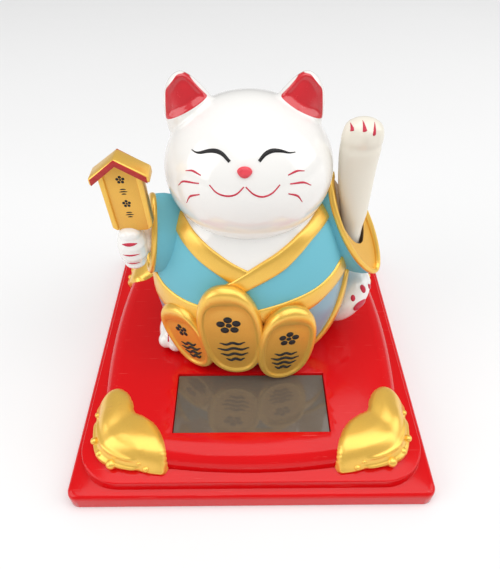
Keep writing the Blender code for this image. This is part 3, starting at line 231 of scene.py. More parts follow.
class Paint:
    """A finish under construction."""

    def __init__(self, name, **constants):
        self.material = bpy.data.materials.new(name)
        self.material.use_nodes = True
        self.tree = self.material.node_tree
        self.shader = self.tree.nodes["Principled BSDF"]
        for socket, value in constants.items():
            self.feed(self.shader.inputs[socket.replace("_", " ")], value)
        self.object_place = self.node("ShaderNodeTexCoord").outputs["Object"]

    def feed(self, socket, value):
        """Link a socket or set its constant."""
        if isinstance(value, Value):
            value = value.socket
        if isinstance(value, bpy.types.NodeSocket):
            self.tree.links.new(value, socket)
        else:
            socket.default_value = value

    def node(self, kind, settings=None, values=None):
        """Add a node: its settings first, then its sockets' values or links."""
        made = self.tree.nodes.new(kind)
        for name, value in (settings or {}).items():
            setattr(made, name, value)
        for name, value in (values or {}).items():
            self.feed(made.inputs[name], value)
        return made

    def maths(self, operation, *values):
        """A Math node on values, as a Value."""
        made = self.tree.nodes.new("ShaderNodeMath")
        made.operation = operation
        for socket, value in zip(made.inputs, values):
            self.feed(socket, value)
        return Value(self, made.outputs[0])

    def axes(self):
        """The X, Y and Z of the object's own coordinates."""
        split = self.node("ShaderNodeSeparateXYZ", values={"Vector": self.object_place})
        return [Value(self, socket) for socket in split.outputs]

    def grain(self, size, detail=2.0, stretch=(1, 1, 1), offset=0.0):
        """Noise whose features are about size metres across."""
        place = self.node("ShaderNodeMapping", {"vector_type": "POINT"},
                          {"Vector": self.object_place, "Scale": stretch, "Location": (offset, 0, 0)})
        made = self.node("ShaderNodeTexNoise", values={"Vector": place.outputs["Vector"], "Scale": 1 / size,
                                                       "Detail": detail})
        return Value(self, made.outputs[0])

    def flakes(self, size):
        """A random number for each flake of about size metres."""
        made = self.node("ShaderNodeTexVoronoi", {"feature": "F1"},
                         {"Vector": self.object_place, "Scale": 1 / size})
        split = self.node("ShaderNodeSeparateColor", values={"Color": made.outputs["Color"]})
        return Value(self, split.outputs[0])

    def mix(self, factor, first, second):
        """A colour between two."""
        made = self.tree.nodes.new("ShaderNodeMix")
        made.data_type = "RGBA"
        for identifier, value in (("Factor_Float", factor), ("A_Color", first), ("B_Color", second)):
            if isinstance(value, tuple):
                value = (*value[:3], 1.0)
            self.feed(pick(made.inputs, identifier), value)
        return pick(made.outputs, "Result_Color")

    def finish(self, base, roughness=None, height=None, depth=0.02 * MM, metallic=None):
        """Feed the shader and return the material."""
        self.feed(self.shader.inputs["Base Color"], base)
        if roughness is not None:
            self.feed(self.shader.inputs["Roughness"], roughness)
        if metallic is not None:
            self.feed(self.shader.inputs["Metallic"], metallic)
        if height is not None:
            bump = self.node("ShaderNodeBump", values={"Height": height, "Distance": depth, "Strength": 1.0})
            self.feed(self.shader.inputs["Normal"], bump.outputs["Normal"])
        return self.material


def shade(rgb, factor):
    """A colour made lighter or darker."""
    return tuple(min(1.0, channel * factor) for channel in rgb[:3])


def tint(rgb, other, share):
    """A colour part of the way to another."""
    return tuple(a + (b - a) * share for a, b in zip(rgb[:3], other[:3]))


def once(maker):
    """Make each finish the first time that it is asked for."""
    def found():
        name = maker.__name__
        return bpy.data.materials.get(name) or maker(name)
    return found


def gloss_coat(name, rgb, mottle, roughness, peel, coat=0.6):
    """Smooth sprayed lacquer: faint mottling, orange peel, and a few dust nibs under the gloss."""
    paint = Paint(name, Coat_Weight=coat, Coat_Roughness=0.05, IOR=1.5)
    cloud = paint.grain(9 * MM, 3)
    fine = paint.grain(0.9 * MM, 2)
    nibs = paint.grain(0.5 * MM, 1, offset=0.3).above(0.80, 0.03)
    base = paint.mix(cloud, shade(rgb, 1 - mottle), shade(rgb, 1 + mottle))
    base = paint.mix(nibs * 0.35, base, shade(rgb, 0.6))
    return paint.finish(base, cloud * 0.06 + fine * 0.05 + (roughness - 0.05), fine + nibs * 0.6, peel)


@once
def base_red(name):
    """Glossy injection-moulded red: flow lines, fine handling scratches and scuffed low edges."""
    rgb = bpy.context.scene.cat_base.red
    paint = Paint(name, IOR=1.45, Coat_Weight=0.08, Coat_Roughness=0.05, Specular_IOR_Level=0.32)
    z = paint.axes()[2]
    flow = paint.grain(26 * MM, 3, (1, 1, 3))
    scratch = paint.grain(0.35 * MM, 1, (0.03, 1, 1)).above(0.74, 0.04)
    scuff = (paint.grain(1.4 * MM, 4) + (0.9 * MM - z) * 260).above(0.86, 0.10)
    base = paint.mix(flow, shade(rgb, 0.88), shade(rgb, 1.10))
    base = paint.mix(scratch * 0.22, base, (0.85, 0.16, 0.13))
    base = paint.mix(scuff * 0.35, base, (0.55, 0.09, 0.08))
    ripple = flow * 2.0 + paint.grain(1.6 * MM, 2) * 0.5
    return paint.finish(base, flow * 0.08 + 0.10 + scratch * 0.2 + scuff * 0.3, ripple, 0.030 * MM)


@once
def cover_red(name):
    """Spark-eroded matt red of the underside cover."""
    rgb = bpy.context.scene.cat_base.red
    paint = Paint(name, IOR=1.48)
    pitted = paint.grain(0.35 * MM, 3)
    cloud = paint.grain(18 * MM, 3)
    base = paint.mix(cloud, shade(rgb, 0.70), shade(rgb, 0.86))
    return paint.finish(base, pitted * 0.2 + 0.38, pitted, 0.06 * MM)


def gold_coat(name, rgb, dark, roughness):
    """Sprayed metallic gold: fine flakes, soft cloudiness and thin spots on an amber undercoat."""
    paint = Paint(name, IOR=1.5, Coat_Weight=0.3, Coat_Roughness=0.18)
    flakes = paint.flakes(0.07 * MM)
    cloud = paint.grain(5 * MM, 3)
    thin = (paint.grain(2.4 * MM, 4, offset=1.7) + cloud * 0.2).above(0.82, 0.08)
    base = paint.mix(flakes, shade(rgb, 0.93), shade(rgb, 1.05))
    base = paint.mix(cloud * 0.3, base, dark)
    base = paint.mix(thin * 0.4, base, tint(dark, (0.45, 0.12, 0.02), 0.4))
    rough = flakes * 0.05 + cloud * 0.08 + (roughness - 0.05)
    return paint.finish(base, rough, flakes * 0.08 + cloud, 0.03 * MM, 0.55 - thin * 0.3)


@once
def gold_leaf(name):
    """The bright gold of bands, coins and ornaments."""
    rgb = bpy.context.scene.cat_gold.gold
    return gold_coat(name, rgb, tint(shade(rgb, 0.8), (0.80, 0.30, 0.03), 0.5), 0.30)


@once
def gold_face(name):
    """The flatter, deeper gold of the coins' faces and the board."""
    rgb = tint(bpy.context.scene.cat_gold.gold, (0.80, 0.40, 0.06), 0.45)
    return gold_coat(name, rgb, tint(shade(rgb, 0.8), (0.70, 0.25, 0.03), 0.5), 0.38)


@once
def robe_blue(name):
    """The robe's turquoise lacquer."""
    return gloss_coat(name, bpy.context.scene.cat_robe.robe, 0.09, 0.27, 0.020 * MM, 0.45)


@once
def robe_painted_shade(name):
    """The robe's painted shade: a greyer, darker blue lacquer laid on the lower body below the hems."""
    return gloss_coat(name, bpy.context.scene.cat_robe.robe_painted_shade, 0.12, 0.30, 0.020 * MM, 0.4)


@once
def paw_white(name):
    """Glossy white of the paws and the chest."""
    return gloss_coat(name, bpy.context.scene.cat_coat.white, 0.02, 0.17, 0.012 * MM, 0.7)


@once
def arm_cream(name):
    """The waving arm's warmer plastic, paler towards its paw."""
    rgb = bpy.context.scene.cat_coat.cream
    paint = Paint(name, IOR=1.48, Coat_Weight=0.25, Coat_Roughness=0.15)
    z = paint.axes()[2]
    cloud = paint.grain(7 * MM, 3)
    fine = paint.grain(0.7 * MM, 2)
    rise = ((z - (PIVOT.z + 6 * MM)) / (30 * MM) + cloud * 0.3).above(0.6, 0.55)
    base = paint.mix(rise, shade(rgb, 0.93), tint(rgb, (0.95, 0.94, 0.88), 0.55))
    base = paint.mix(cloud * 0.25, base, shade(rgb, 0.93))
    return paint.finish(base, fine * 0.08 + 0.26, fine + cloud, 0.015 * MM)


def brushed(name, rgb, coat=0.15):
    """Hand-brushed enamel with thicker and thinner strokes."""
    paint = Paint(name, IOR=1.45, Coat_Weight=coat, Coat_Roughness=0.12, Specular_IOR_Level=0.25)
    streak = paint.grain(0.8 * MM, 3, (0.3, 1, 1))
    base = paint.mix(streak, shade(rgb, 0.82), tint(shade(rgb, 1.15), (1, 1, 1), 0.03))
    return paint.finish(base, streak * 0.15 + 0.22, streak, 0.02 * MM)


@once
def line_red(name):
    """Brushed crimson of the mouth, whiskers and claws."""
    return brushed(name, bpy.context.scene.cat_coat.line_red)


@once
def nose_red(name):
    """The nose's rosy enamel."""
    return brushed(name, bpy.context.scene.cat_coat.nose_red)


@once
def ink_black(name):
    """Printed black of the eyes and motifs."""
    return brushed(name, bpy.context.scene.cat_coins.ink, 0.0)


@once
def roof_red(name):
    """Dark red enamel under the board's roof."""
    return brushed(name, bpy.context.scene.cat_coins.roof_red)


@once
def slot_brown(name):
    """The unpainted brown inside the shoulder's slot."""
    paint = Paint(name, IOR=1.45)
    cloud = paint.grain(2.2 * MM, 4)
    base = paint.mix(cloud, (0.24, 0.14, 0.075), (0.42, 0.29, 0.17))
    return paint.finish(base, cloud * 0.2 + 0.45, cloud, 0.05 * MM)


CELL_STRIPS = 8


@once
def cell_glass(name):
    """Thin-film cell behind glass: warm taupe with scribed lines across and silver ends."""
    paint = Paint(name, IOR=1.5, Coat_Weight=0.6, Coat_Roughness=0.03)
    x = paint.axes()[0]
    width = CELL_HIGH.x - CELL_LOW.x
    middle = abs(x)
    cell = width / CELL_STRIPS
    scribe = 1 - paint.maths("PINGPONG", x + cell / 2, cell / 2).above(0.07 * MM, 0.03 * MM)
    centre = 1 - middle.above(0.16 * MM, 0.05 * MM)
    ends = middle.above(width / 2 - 0.9 * MM, 0.05 * MM)
    cloud = paint.grain(7 * MM, 4)
    dust = paint.grain(0.3 * MM, 2).above(0.76, 0.03)
    base = paint.mix(cloud, (0.250, 0.195, 0.115), (0.310, 0.250, 0.155))
    base = paint.mix(scribe * 0.18, base, (0.14, 0.10, 0.06))
    base = paint.mix(centre * 0.4, base, (0.10, 0.07, 0.04))
    base = paint.mix(ends * 0.3, base, (0.45, 0.40, 0.32))
    base = paint.mix(dust * 0.2, base, (0.6, 0.58, 0.52))
    return paint.finish(base, cloud * 0.03 + 0.06 + dust * 0.2, cloud, 0.004 * MM, 0.35)


def metal(name, rgb, stretch, roughness):
    """Turned or drawn metal with fine lines and a few stains."""
    paint = Paint(name, Metallic=1.0)
    lines = paint.grain(0.12 * MM, 2, stretch)
    stain = paint.grain(2.5 * MM, 4)
    base = paint.mix(lines, shade(rgb, 0.85), shade(rgb, 1.05))
    base = paint.mix(stain * 0.25, base, shade(rgb, 0.6))
    return paint.finish(base, lines * 0.18 + roughness, lines, 0.01 * MM)


@once
def steel(name):
    """Zinc-bright steel of screws, axle and magnet."""
    return metal(name, (0.62, 0.62, 0.64), (1, 1, 0.08), 0.20)


@once
def copper(name):
    """Enamelled copper wire, wound in even turns, with painted shade in the grooves between turns and a
    painted highlight along each turn's crest.
    """
    paint = Paint(name, Metallic=1.0, Coat_Weight=0.4, Coat_Roughness=0.1)
    z = paint.axes()[2]
    turn = 0.14 * MM
    wire = paint.maths("PINGPONG", z, turn / 2) / (turn / 2)
    cloud = paint.grain(1.2 * MM, 3)
    # painted shade and highlight: each turn runs from dark in its grooves to bright on its crest, in step
    # with the turns' bump
    base = paint.mix(wire, (0.30, 0.09, 0.03), (0.85, 0.40, 0.18))
    base = paint.mix(cloud * 0.3, base, (0.5, 0.16, 0.06))
    return paint.finish(base, cloud * 0.1 + 0.22, wire, 0.05 * MM)


@once
def board_green(name):
    """Green solder mask with copper tracks showing through it."""
    paint = Paint(name, IOR=1.5, Coat_Weight=0.5, Coat_Roughness=0.2)
    x, y, _ = paint.axes()
    wander = paint.grain(6 * MM, 1) * (3 * MM)
    track = 1 - paint.maths("PINGPONG", x + y * 0.6 + wander, 1.1 * MM).above(0.30 * MM, 0.06 * MM)
    cloud = paint.grain(3 * MM, 3)
    base = paint.mix(track * 0.8, (0.012, 0.12, 0.045), (0.05, 0.30, 0.12))
    base = paint.mix(cloud * 0.3, base, (0.01, 0.09, 0.03))
    return paint.finish(base, cloud * 0.1 + 0.30, track, 0.03 * MM)


def moulded(name, rgb, roughness):
    """Small moulded parts with a fine grain."""
    paint = Paint(name, IOR=1.48)
    fine = paint.grain(0.25 * MM, 3)
    cloud = paint.grain(4 * MM, 3)
    base = paint.mix(cloud, shade(rgb, 0.86), shade(rgb, 1.10))
    base = paint.mix(fine * 0.2, base, shade(rgb, 0.8))
    return paint.finish(base, fine * 0.15 + roughness, fine, 0.03 * MM)


@once
def black_plastic(name):
    """Black epoxy and sleeve plastic."""
    return moulded(name, (0.022, 0.022, 0.024), 0.38)


@once
def lead_red(name):
    """Red wire insulation."""
    return moulded(name, (0.58, 0.02, 0.02), 0.34)


@once
def lead_black(name):
    """Black wire insulation."""
    return moulded(name, (0.02, 0.02, 0.02), 0.34)


@once
def bracket_white(name):
    """Natural white plastic of the bracket, lever and bobbin."""
    return moulded(name, (0.74, 0.73, 0.69), 0.40)


# what each CAD material slot is finished with where its node shows
SLOT_FINISH = {
    "red_plastic": cover_red, "gold_paint": gold_leaf, "white_gloss": paw_white, "robe_blue": robe_blue,
    "arm_cream": arm_cream, "cell_glass": cell_glass, "steel": steel, "board_green": board_green,
    "black_plastic": black_plastic, "copper": copper, "lead_red": lead_red, "lead_black": lead_black,
    "bracket_white": bracket_white,
}

# the red hollow of an ear, as half planes in the ear's own plane: a point, and the way out
EAR_MIDDLE = -1.4 * MM
EAR_SIDES = (
    (18.9, 87.7, -0.465, -0.885), (8.0, 93.0, -0.740, 0.672), (18.45, 88.0, 0.995, 0.095),
    (17.2, 95.6, 0.74, 0.67), (14.0, 98.25, 0.02, 1.0),
)
EAR_SOFT = 0.8 * MM                 # how softly the sides run into each other
EAR_FRONT = 5.4 * MM                # nothing behind this is hollow or red


@once
def head_paint(name):
    """White lacquer, with the red of the ears' hollows laid on by their outline."""
    coat = bpy.context.scene.cat_coat
    paint = Paint(name, Coat_Weight=0.7, Coat_Roughness=0.05, IOR=1.5)
    x, y, z = paint.axes()
    out = abs(x - EAR_MIDDLE)
    edge = None
    for u, v, nu, nv in EAR_SIDES:
        side = (out - u * MM) * nu + (z - v * MM) * nv
        edge = side if edge is None else paint.maths("SMOOTH_MAX", edge, side, EAR_SOFT)
    inside = (1 - edge.above(0, 0.07 * MM)) * (1 - y.above(EAR_FRONT, 0.05 * MM))
    cloud = paint.grain(9 * MM, 3)
    fine = paint.grain(0.9 * MM, 2)
    nibs = paint.grain(0.5 * MM, 1, offset=0.3).above(0.81, 0.03)
    base = paint.mix(cloud, shade(coat.white, 0.985), shade(coat.white, 1.015))
    base = paint.mix(nibs * 0.3, base, (0.55, 0.50, 0.45))
    red = paint.mix(cloud, shade(coat.ear_red, 0.85), shade(coat.ear_red, 1.15))
    base = paint.mix(inside, base, red)
    return paint.finish(base, fine * 0.05 + 0.12 + inside * 0.12, fine + nibs * 0.6, 0.010 * MM)


# ------------------------------------------------------------------ mesh helpers
def smooth_through(rows, at):
    """The row at a first value, on a smooth curve through rows of numbers that rise in the first."""
    last = len(rows) - 1
    k = max(0, min(last - 1, sum(row[0] <= at for row in rows) - 1))
    before, a, b, after = rows[max(0, k - 1)], rows[k], rows[k + 1], rows[min(last, k + 2)]
    span = b[0] - a[0]
    t = min(1.0, max(0.0, (at - a[0]) / span))
    made = []
    for i in range(1, len(a)):
        rise_a = (b[i] - before[i]) / max(b[0] - before[0], 1e-9) * span
        rise_b = (after[i] - a[i]) / max(after[0] - a[0], 1e-9) * span
        made.append((2 * t ** 3 - 3 * t ** 2 + 1) * a[i] + (t ** 3 - 2 * t ** 2 + t) * rise_a
                    + (3 * t ** 2 - 2 * t ** 3) * b[i] + (t ** 3 - t ** 2) * rise_b)
    return made


def spread(rows, count):
    """Count rows, evenly spaced on the smooth curve through the given ones."""
    numbered = [(i, *row) for i, row in enumerate(rows)]
    return [smooth_through(numbered, i / (count - 1) * (len(rows) - 1)) for i in range(count)]


def skin(rings, closed=False, caps=True):
    """A bmesh skinned over equal rings, either capped or joined round from last to first."""
    bm = bmesh.new()
    loops = [[bm.verts.new(point) for point in ring] for ring in rings]
    count = len(loops[0])
    pairs = list(zip(loops, loops[1:]))
    if closed:
        pairs.append((loops[-1], loops[0]))
    for lower, upper in pairs:
        for i in range(count):
            j = (i + 1) % count
            bm.faces.new((lower[i], lower[j], upper[j], upper[i]))
    if caps and not closed:
        for end in (loops[0], loops[-1]):
            middle = bm.verts.new(sum((v.co for v in end), Vector()) / count)
            for i in range(count):
                bm.faces.new((end[i], end[(i + 1) % count], middle))
    return bm


def ring_of(steps, point_at):
    """Points all the way round, each where point_at puts it for its angle."""
    return [point_at(2 * math.pi * step / steps) for step in range(steps)]


def quarter_turn(steps):
    """Angles from 0 to a quarter turn."""
    return [step / steps * math.pi / 2 for step in range(steps + 1)]


def absorb(bm, other):
    """Move another bmesh's faces into this one."""
    carrier = bpy.data.meshes.new("carrier")
    other.to_mesh(carrier)
    other.free()
    bm.from_mesh(carrier)
    bpy.data.meshes.remove(carrier)


def solid(name, bm, *finishes):
    """An object from a bmesh, with outward faces and its finishes."""
    bmesh.ops.recalc_face_normals(bm, faces=bm.faces)
    mesh = bpy.data.meshes.new(name)
    bm.to_mesh(mesh)
    bm.free()
    made = bpy.data.objects.new(name, mesh)
    bpy.context.scene.collection.objects.link(made)
    for finish in finishes:
        mesh.materials.append(finish())
    return made


def applied(obj, angle=40):
    """Give obj the plain mesh that its modifiers make, and shade it smooth up to an angle."""
    bpy.context.view_layer.update()
    evaluated = obj.evaluated_get(bpy.context.evaluated_depsgraph_get())
    mesh = bpy.data.meshes.new_from_object(evaluated)
    obj.modifiers.clear()
    old = obj.data
    obj.data = mesh
    mesh.name = obj.name
    bpy.data.meshes.remove(old)
    mesh.shade_smooth()
    mesh.set_sharp_from_angle(angle=math.radians(angle))
    return obj


def combined(obj, tool, operation):
    """One exact Boolean on obj, keeping both sides' material indices."""
    modifier = obj.modifiers.new(operation, "BOOLEAN")
    modifier.operation = operation
    modifier.solver = "EXACT"
    modifier.material_mode = "INDEX"
    modifier.object = tool
    applied(obj)
    bpy.data.objects.remove(tool, do_unlink=True)
    return obj


def eased(obj, width, segments=2, angle=38):
    """Round the sharp edges that are left."""
    bevel = obj.modifiers.new("ease", "BEVEL")
    bevel.width = width
    bevel.segments = segments
    bevel.limit_method = "ANGLE"
    bevel.angle_limit = math.radians(angle)
    bevel.use_clamp_overlap = True
    return applied(obj)


def fused(obj, voxel, rounds):
    """Melt overlapping volumes into one smooth skin."""
    remesh = obj.modifiers.new("fuse", "REMESH")
    remesh.mode = "VOXEL"
    remesh.voxel_size = voxel
    blur = obj.modifiers.new("soften", "SMOOTH")
    blur.factor = 0.5
    blur.iterations = rounds
    return applied(obj, 180)


def add_ball(bm, centre, radii, turn=None, segments=32):
    """Add an ellipsoid to a bmesh."""
    place = Matrix.Translation(centre) @ (turn or Matrix()) @ Matrix.Diagonal((*radii, 1))
    bmesh.ops.create_uvsphere(bm, u_segments=segments, v_segments=segments // 2, radius=1, matrix=place)


def add_block(bm, size, centre, turn=None):
    """Add a cuboid to a bmesh."""
    place = Matrix.Translation(centre) @ (turn or Matrix()) @ Matrix.Diagonal((*size, 1))
    bmesh.ops.create_cube(bm, size=1, matrix=place)


def seated(piece, body, slot, *nodes):
    """Ride the piece on its body and hide the nodes that it stands for; its slot is not used."""
    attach(piece, body)
    if nodes:
        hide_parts(*nodes)
    return piece


# ------------------------------------------------------------------ node-built strokes and dots
class Graph:
    """A geometry node tree under construction, with named inputs."""

    def __init__(self, name, inputs):
        self.tree = bpy.data.node_groups.new(name, "GeometryNodeTree")
        self.tree.interface.new_socket("Geometry", in_out="INPUT", socket_type="NodeSocketGeometry")
        for label, kind, default in inputs:
            socket = self.tree.interface.new_socket(label, in_out="INPUT", socket_type=kind)
            if default is not None:
                socket.default_value = default
        self.tree.interface.new_socket("Geometry", in_out="OUTPUT", socket_type="NodeSocketGeometry")
        self.start = self.tree.nodes.new("NodeGroupInput")
        self.end = self.tree.nodes.new("NodeGroupOutput")

    def node(self, kind, settings=None, values=None):
        """Add a node: its settings first, then its sockets' values or links."""
        made = self.tree.nodes.new(kind)
        for name, value in (settings or {}).items():
            setattr(made, name, value)
        for name, value in (values or {}).items():
            if isinstance(value, bpy.types.NodeSocket):
                self.tree.links.new(value, made.inputs[name])
            else:
                made.inputs[name].default_value = value
        return made

    def product(self, first, second):
        """The product of two number sockets."""
        made = self.node("ShaderNodeMath", {"operation": "MULTIPLY"})
        self.tree.links.new(first, made.inputs[0])
        self.tree.links.new(second, made.inputs[1])
        return made.outputs[0]

    def close(self, geometry):
        """Realize, shade, set the material and end the tree."""
        realized = self.node("GeometryNodeRealizeInstances", values={"Geometry": geometry})
        shaded = self.node("GeometryNodeSetShadeSmooth", values={"Geometry": realized.outputs[0]})
        painted = self.node("GeometryNodeSetMaterial", values={
            "Geometry": shaded.outputs[0], "Material": self.start.outputs["Material"]})
        self.tree.links.new(painted.outputs[0], self.end.inputs[0])
        return self.tree


def stroke_graph():
    """Guide lines become round strokes, as thick as the guide says at each point."""
    found = bpy.data.node_groups.get("Painted Strokes")
    if found:
        return found
    graph = Graph("Painted Strokes", (("Thickness", "NodeSocketFloat", 1.0), ("Sides", "NodeSocketInt", 12),
                                      ("Material", "NodeSocketMaterial", None)))
    size = graph.node("GeometryNodeInputNamedAttribute", {"data_type": "FLOAT"}, {"Name": "thick"})
    scaled = graph.product(size.outputs["Attribute"], graph.start.outputs["Thickness"])
    line = graph.node("GeometryNodeMeshToCurve", values={"Mesh": graph.start.outputs["Geometry"]})
    sized = graph.node("GeometryNodeSetCurveRadius", values={
        "Curve": line.outputs[0], "Radius": scaled})
    ring = graph.node("GeometryNodeCurvePrimitiveCircle", {"mode": "RADIUS"},
                      {"Resolution": graph.start.outputs["Sides"], "Radius": 1.0})
    radius = graph.node("GeometryNodeInputRadius")
    tube = graph.node("GeometryNodeCurveToMesh", values={
        "Curve": sized.outputs[0], "Profile Curve": ring.outputs["Curve"], "Scale": radius.outputs[0],
        "Fill Caps": True})
    return graph.close(tube.outputs["Mesh"])


def dot_graph():
    """Points become flattened beads that face the way each point says."""
    found = bpy.data.node_groups.get("Set Beads")
    if found:
        return found
    graph = Graph("Set Beads", (("Flatness", "NodeSocketFloat", 1.0), ("Segments", "NodeSocketInt", 16),
                                ("Material", "NodeSocketMaterial", None)))
    size = graph.node("GeometryNodeInputNamedAttribute", {"data_type": "FLOAT"}, {"Name": "thick"})
    facing = graph.node("GeometryNodeInputNamedAttribute", {"data_type": "FLOAT_VECTOR"}, {"Name": "facing"})
    turn = graph.node("FunctionNodeAlignRotationToVector", {"axis": "Z"}, {
        "Vector": facing.outputs["Attribute"]})
    flat = graph.product(size.outputs["Attribute"], graph.start.outputs["Flatness"])
    scale = graph.node("ShaderNodeCombineXYZ", values={
        "X": size.outputs["Attribute"], "Y": size.outputs["Attribute"], "Z": flat})
    bead = graph.node("GeometryNodeMeshUVSphere", values={
        "Segments": graph.start.outputs["Segments"], "Rings": 10, "Radius": 1.0})
    placed = graph.node("GeometryNodeInstanceOnPoints", values={
        "Points": graph.start.outputs["Geometry"], "Instance": bead.outputs["Mesh"],
        "Rotation": turn.outputs["Rotation"], "Scale": scale.outputs[0]})
    return graph.close(placed.outputs["Instances"])


def grown(name, graph, guide, inputs):
    """Run a node tree on a guide mesh, and keep what it makes as a plain object."""
    made = bpy.data.objects.new(name, guide)
    bpy.context.scene.collection.objects.link(made)
    modifier = made.modifiers.new(graph.name, "NODES")
    modifier.node_group = graph
    names = {item.name: item.identifier for item in graph.interface.items_tree if item.in_out == "INPUT"}
    for label, value in inputs.items():
        modifier[names[label]] = value
    applied(made, 60)
    if not made.data.polygons:
        raise RuntimeError(f"{name}: its node tree made nothing")
    return made


def strokes(name, lines, finish, thickness=1.0, sides=12, cyclic=False):
    """Strokes along lines of (point, radius)."""
    guide = bpy.data.meshes.new(name + "_guide")
    points, edges, radii = [], [], []
    for line in lines:
        first = len(points)
        points += [point for point, _ in line]
        radii += [radius for _, radius in line]
        edges += [(i, i + 1) for i in range(first, len(points) - 1)]
        if cyclic:
            edges.append((len(points) - 1, first))
    guide.from_pydata(points, edges, [])
    guide.attributes.new("thick", "FLOAT", "POINT").data.foreach_set("value", radii)
    return grown(name, stroke_graph(), guide, {"Thickness": thickness, "Sides": sides, "Material": finish()})


def dots(name, rows, finish, flatness=1.0, segments=16):
    """Beads at rows of (point, radius, facing)."""
    guide = bpy.data.meshes.new(name + "_guide")
    guide.from_pydata([row[0] for row in rows], [], [])
    guide.attributes.new("thick", "FLOAT", "POINT").data.foreach_set("value", [row[1] for row in rows])
    flat = [number for row in rows for number in row[2]]
    guide.attributes.new("facing", "FLOAT_VECTOR", "POINT").data.foreach_set("vector", flat)
    return grown(name, dot_graph(), guide, {"Flatness": flatness, "Segments": segments, "Material": finish()})


SUNK = 0.62                         # share of a stroke's radius that lies under its surface


def painted(surface, rows, widest, ends=(0.3, 0.3), peak=0.5, count=24):
    """A stroke laid on a surface through rows of places on it, thickest at its peak."""
    line = []
    for i, place in enumerate(spread(rows, count)):
        point, normal = surface(*place)
        share = i / (count - 1)
        end, way = (ends[0], share / peak) if share < peak else (ends[1], (1 - share) / (1 - peak))
        radius = widest / math.sqrt(1 - SUNK ** 2) * (end + (1 - end) * way * way * (3 - 2 * way))
        line.append((point - normal * radius * SUNK, radius))
    return line


def cast_stroke(piece, starts, way, radius_at, sunk=SUNK):
    """A stroke laid where rays from a row of points meet a piece; radius_at takes the share along the row."""
    line = []
    for index, start in enumerate(starts):
        hit, point, normal, _ = piece.ray_cast(start, way)
        if hit:
            radius = radius_at(index / (len(starts) - 1))
            line.append((point - normal * radius * sunk, radius))
    if len(line) < 2:
        raise RuntimeError(f"{piece.name}: a painted stroke misses it")
    return line


# ------------------------------------------------------------------ the base
def base_outline(half_width, half_depth, corner, bulge, z, corner_steps=14, side_steps=26):
    """One ring of the base: a rounded rectangle whose sides swell at their middles."""
    reach_x = half_width - bulge - corner
    reach_y = half_depth - bulge - corner
    arcs = []
    for index, (sx, sy) in enumerate(((1, 1), (-1, 1), (-1, -1), (1, -1))):
        angles = [(index + step / corner_steps) * math.pi / 2 for step in range(corner_steps + 1)]
        arcs.append([Vector((sx * reach_x + corner * math.cos(angle),
                             sy * reach_y + corner * math.sin(angle), z)) for angle in angles])
    outward = (Vector((0, 1, 0)), Vector((-1, 0, 0)), Vector((0, -1, 0)), Vector((1, 0, 0)))
    points = []
    for index, arc in enumerate(arcs):
        points += arc
        following = arcs[(index + 1) % 4][0]
        for step in range(1, side_steps):
            share = step / side_steps
            swell = bulge * (1 - (2 * share - 1) ** 2)
            points.append(arc[-1].lerp(following, share) + outward[index] * swell)
    return points


CUSHION_RADIUS = 12 * MM
DECK_REACH = 36.6 * MM              # from the roll's inner edge towards the middle
DECK_CROWN = 0.4 * MM
BASE_WALL = 1.7 * MM
COVER_THICKNESS = 2.1 * MM          # the bottom cover with its gap
COVER_LIP = 2.4 * MM                # from the flange's foot to the cover's recess
FLANGE_CHAMFER = 0.35 * MM
DRAFT = 0.1 * MM
STEP_FILLET = 0.35 * MM
CELL_GAP = 0.3 * MM
CELL_LEDGE = 1.6 * MM
PENDULUM_GAP = 0.7 * MM


def cushion_ring(base, way, **steps):
    """A ring of the cushion: way runs 0 to 1 up its rolled side, then 1 to 2 across its deck."""
    step_top = base.flange_height + base.step_height
    deck_edge = BASE_HIGH.z - DECK_CROWN
    if way <= 1:
        angle = way * math.pi / 2
        inset = base.cushion_inset + base.cushion_round * (1 - math.cos(angle))
        z = step_top + (deck_edge - step_top) * math.sin(angle)
        corner, bulge = CUSHION_RADIUS, base.cushion_bulge * (1 - 0.2 * way)
    else:
        share = way - 1
        inset = base.cushion_inset + base.cushion_round + share * DECK_REACH
        z = deck_edge + DECK_CROWN * math.sin(share * math.pi / 2)
        corner, bulge = CUSHION_RADIUS * (1 - share / 2), base.cushion_bulge * (1 - share) * 0.8
    return base_outline(BASE_HIGH.x - inset, BASE_HIGH.y - inset, corner, bulge, z, **steps)


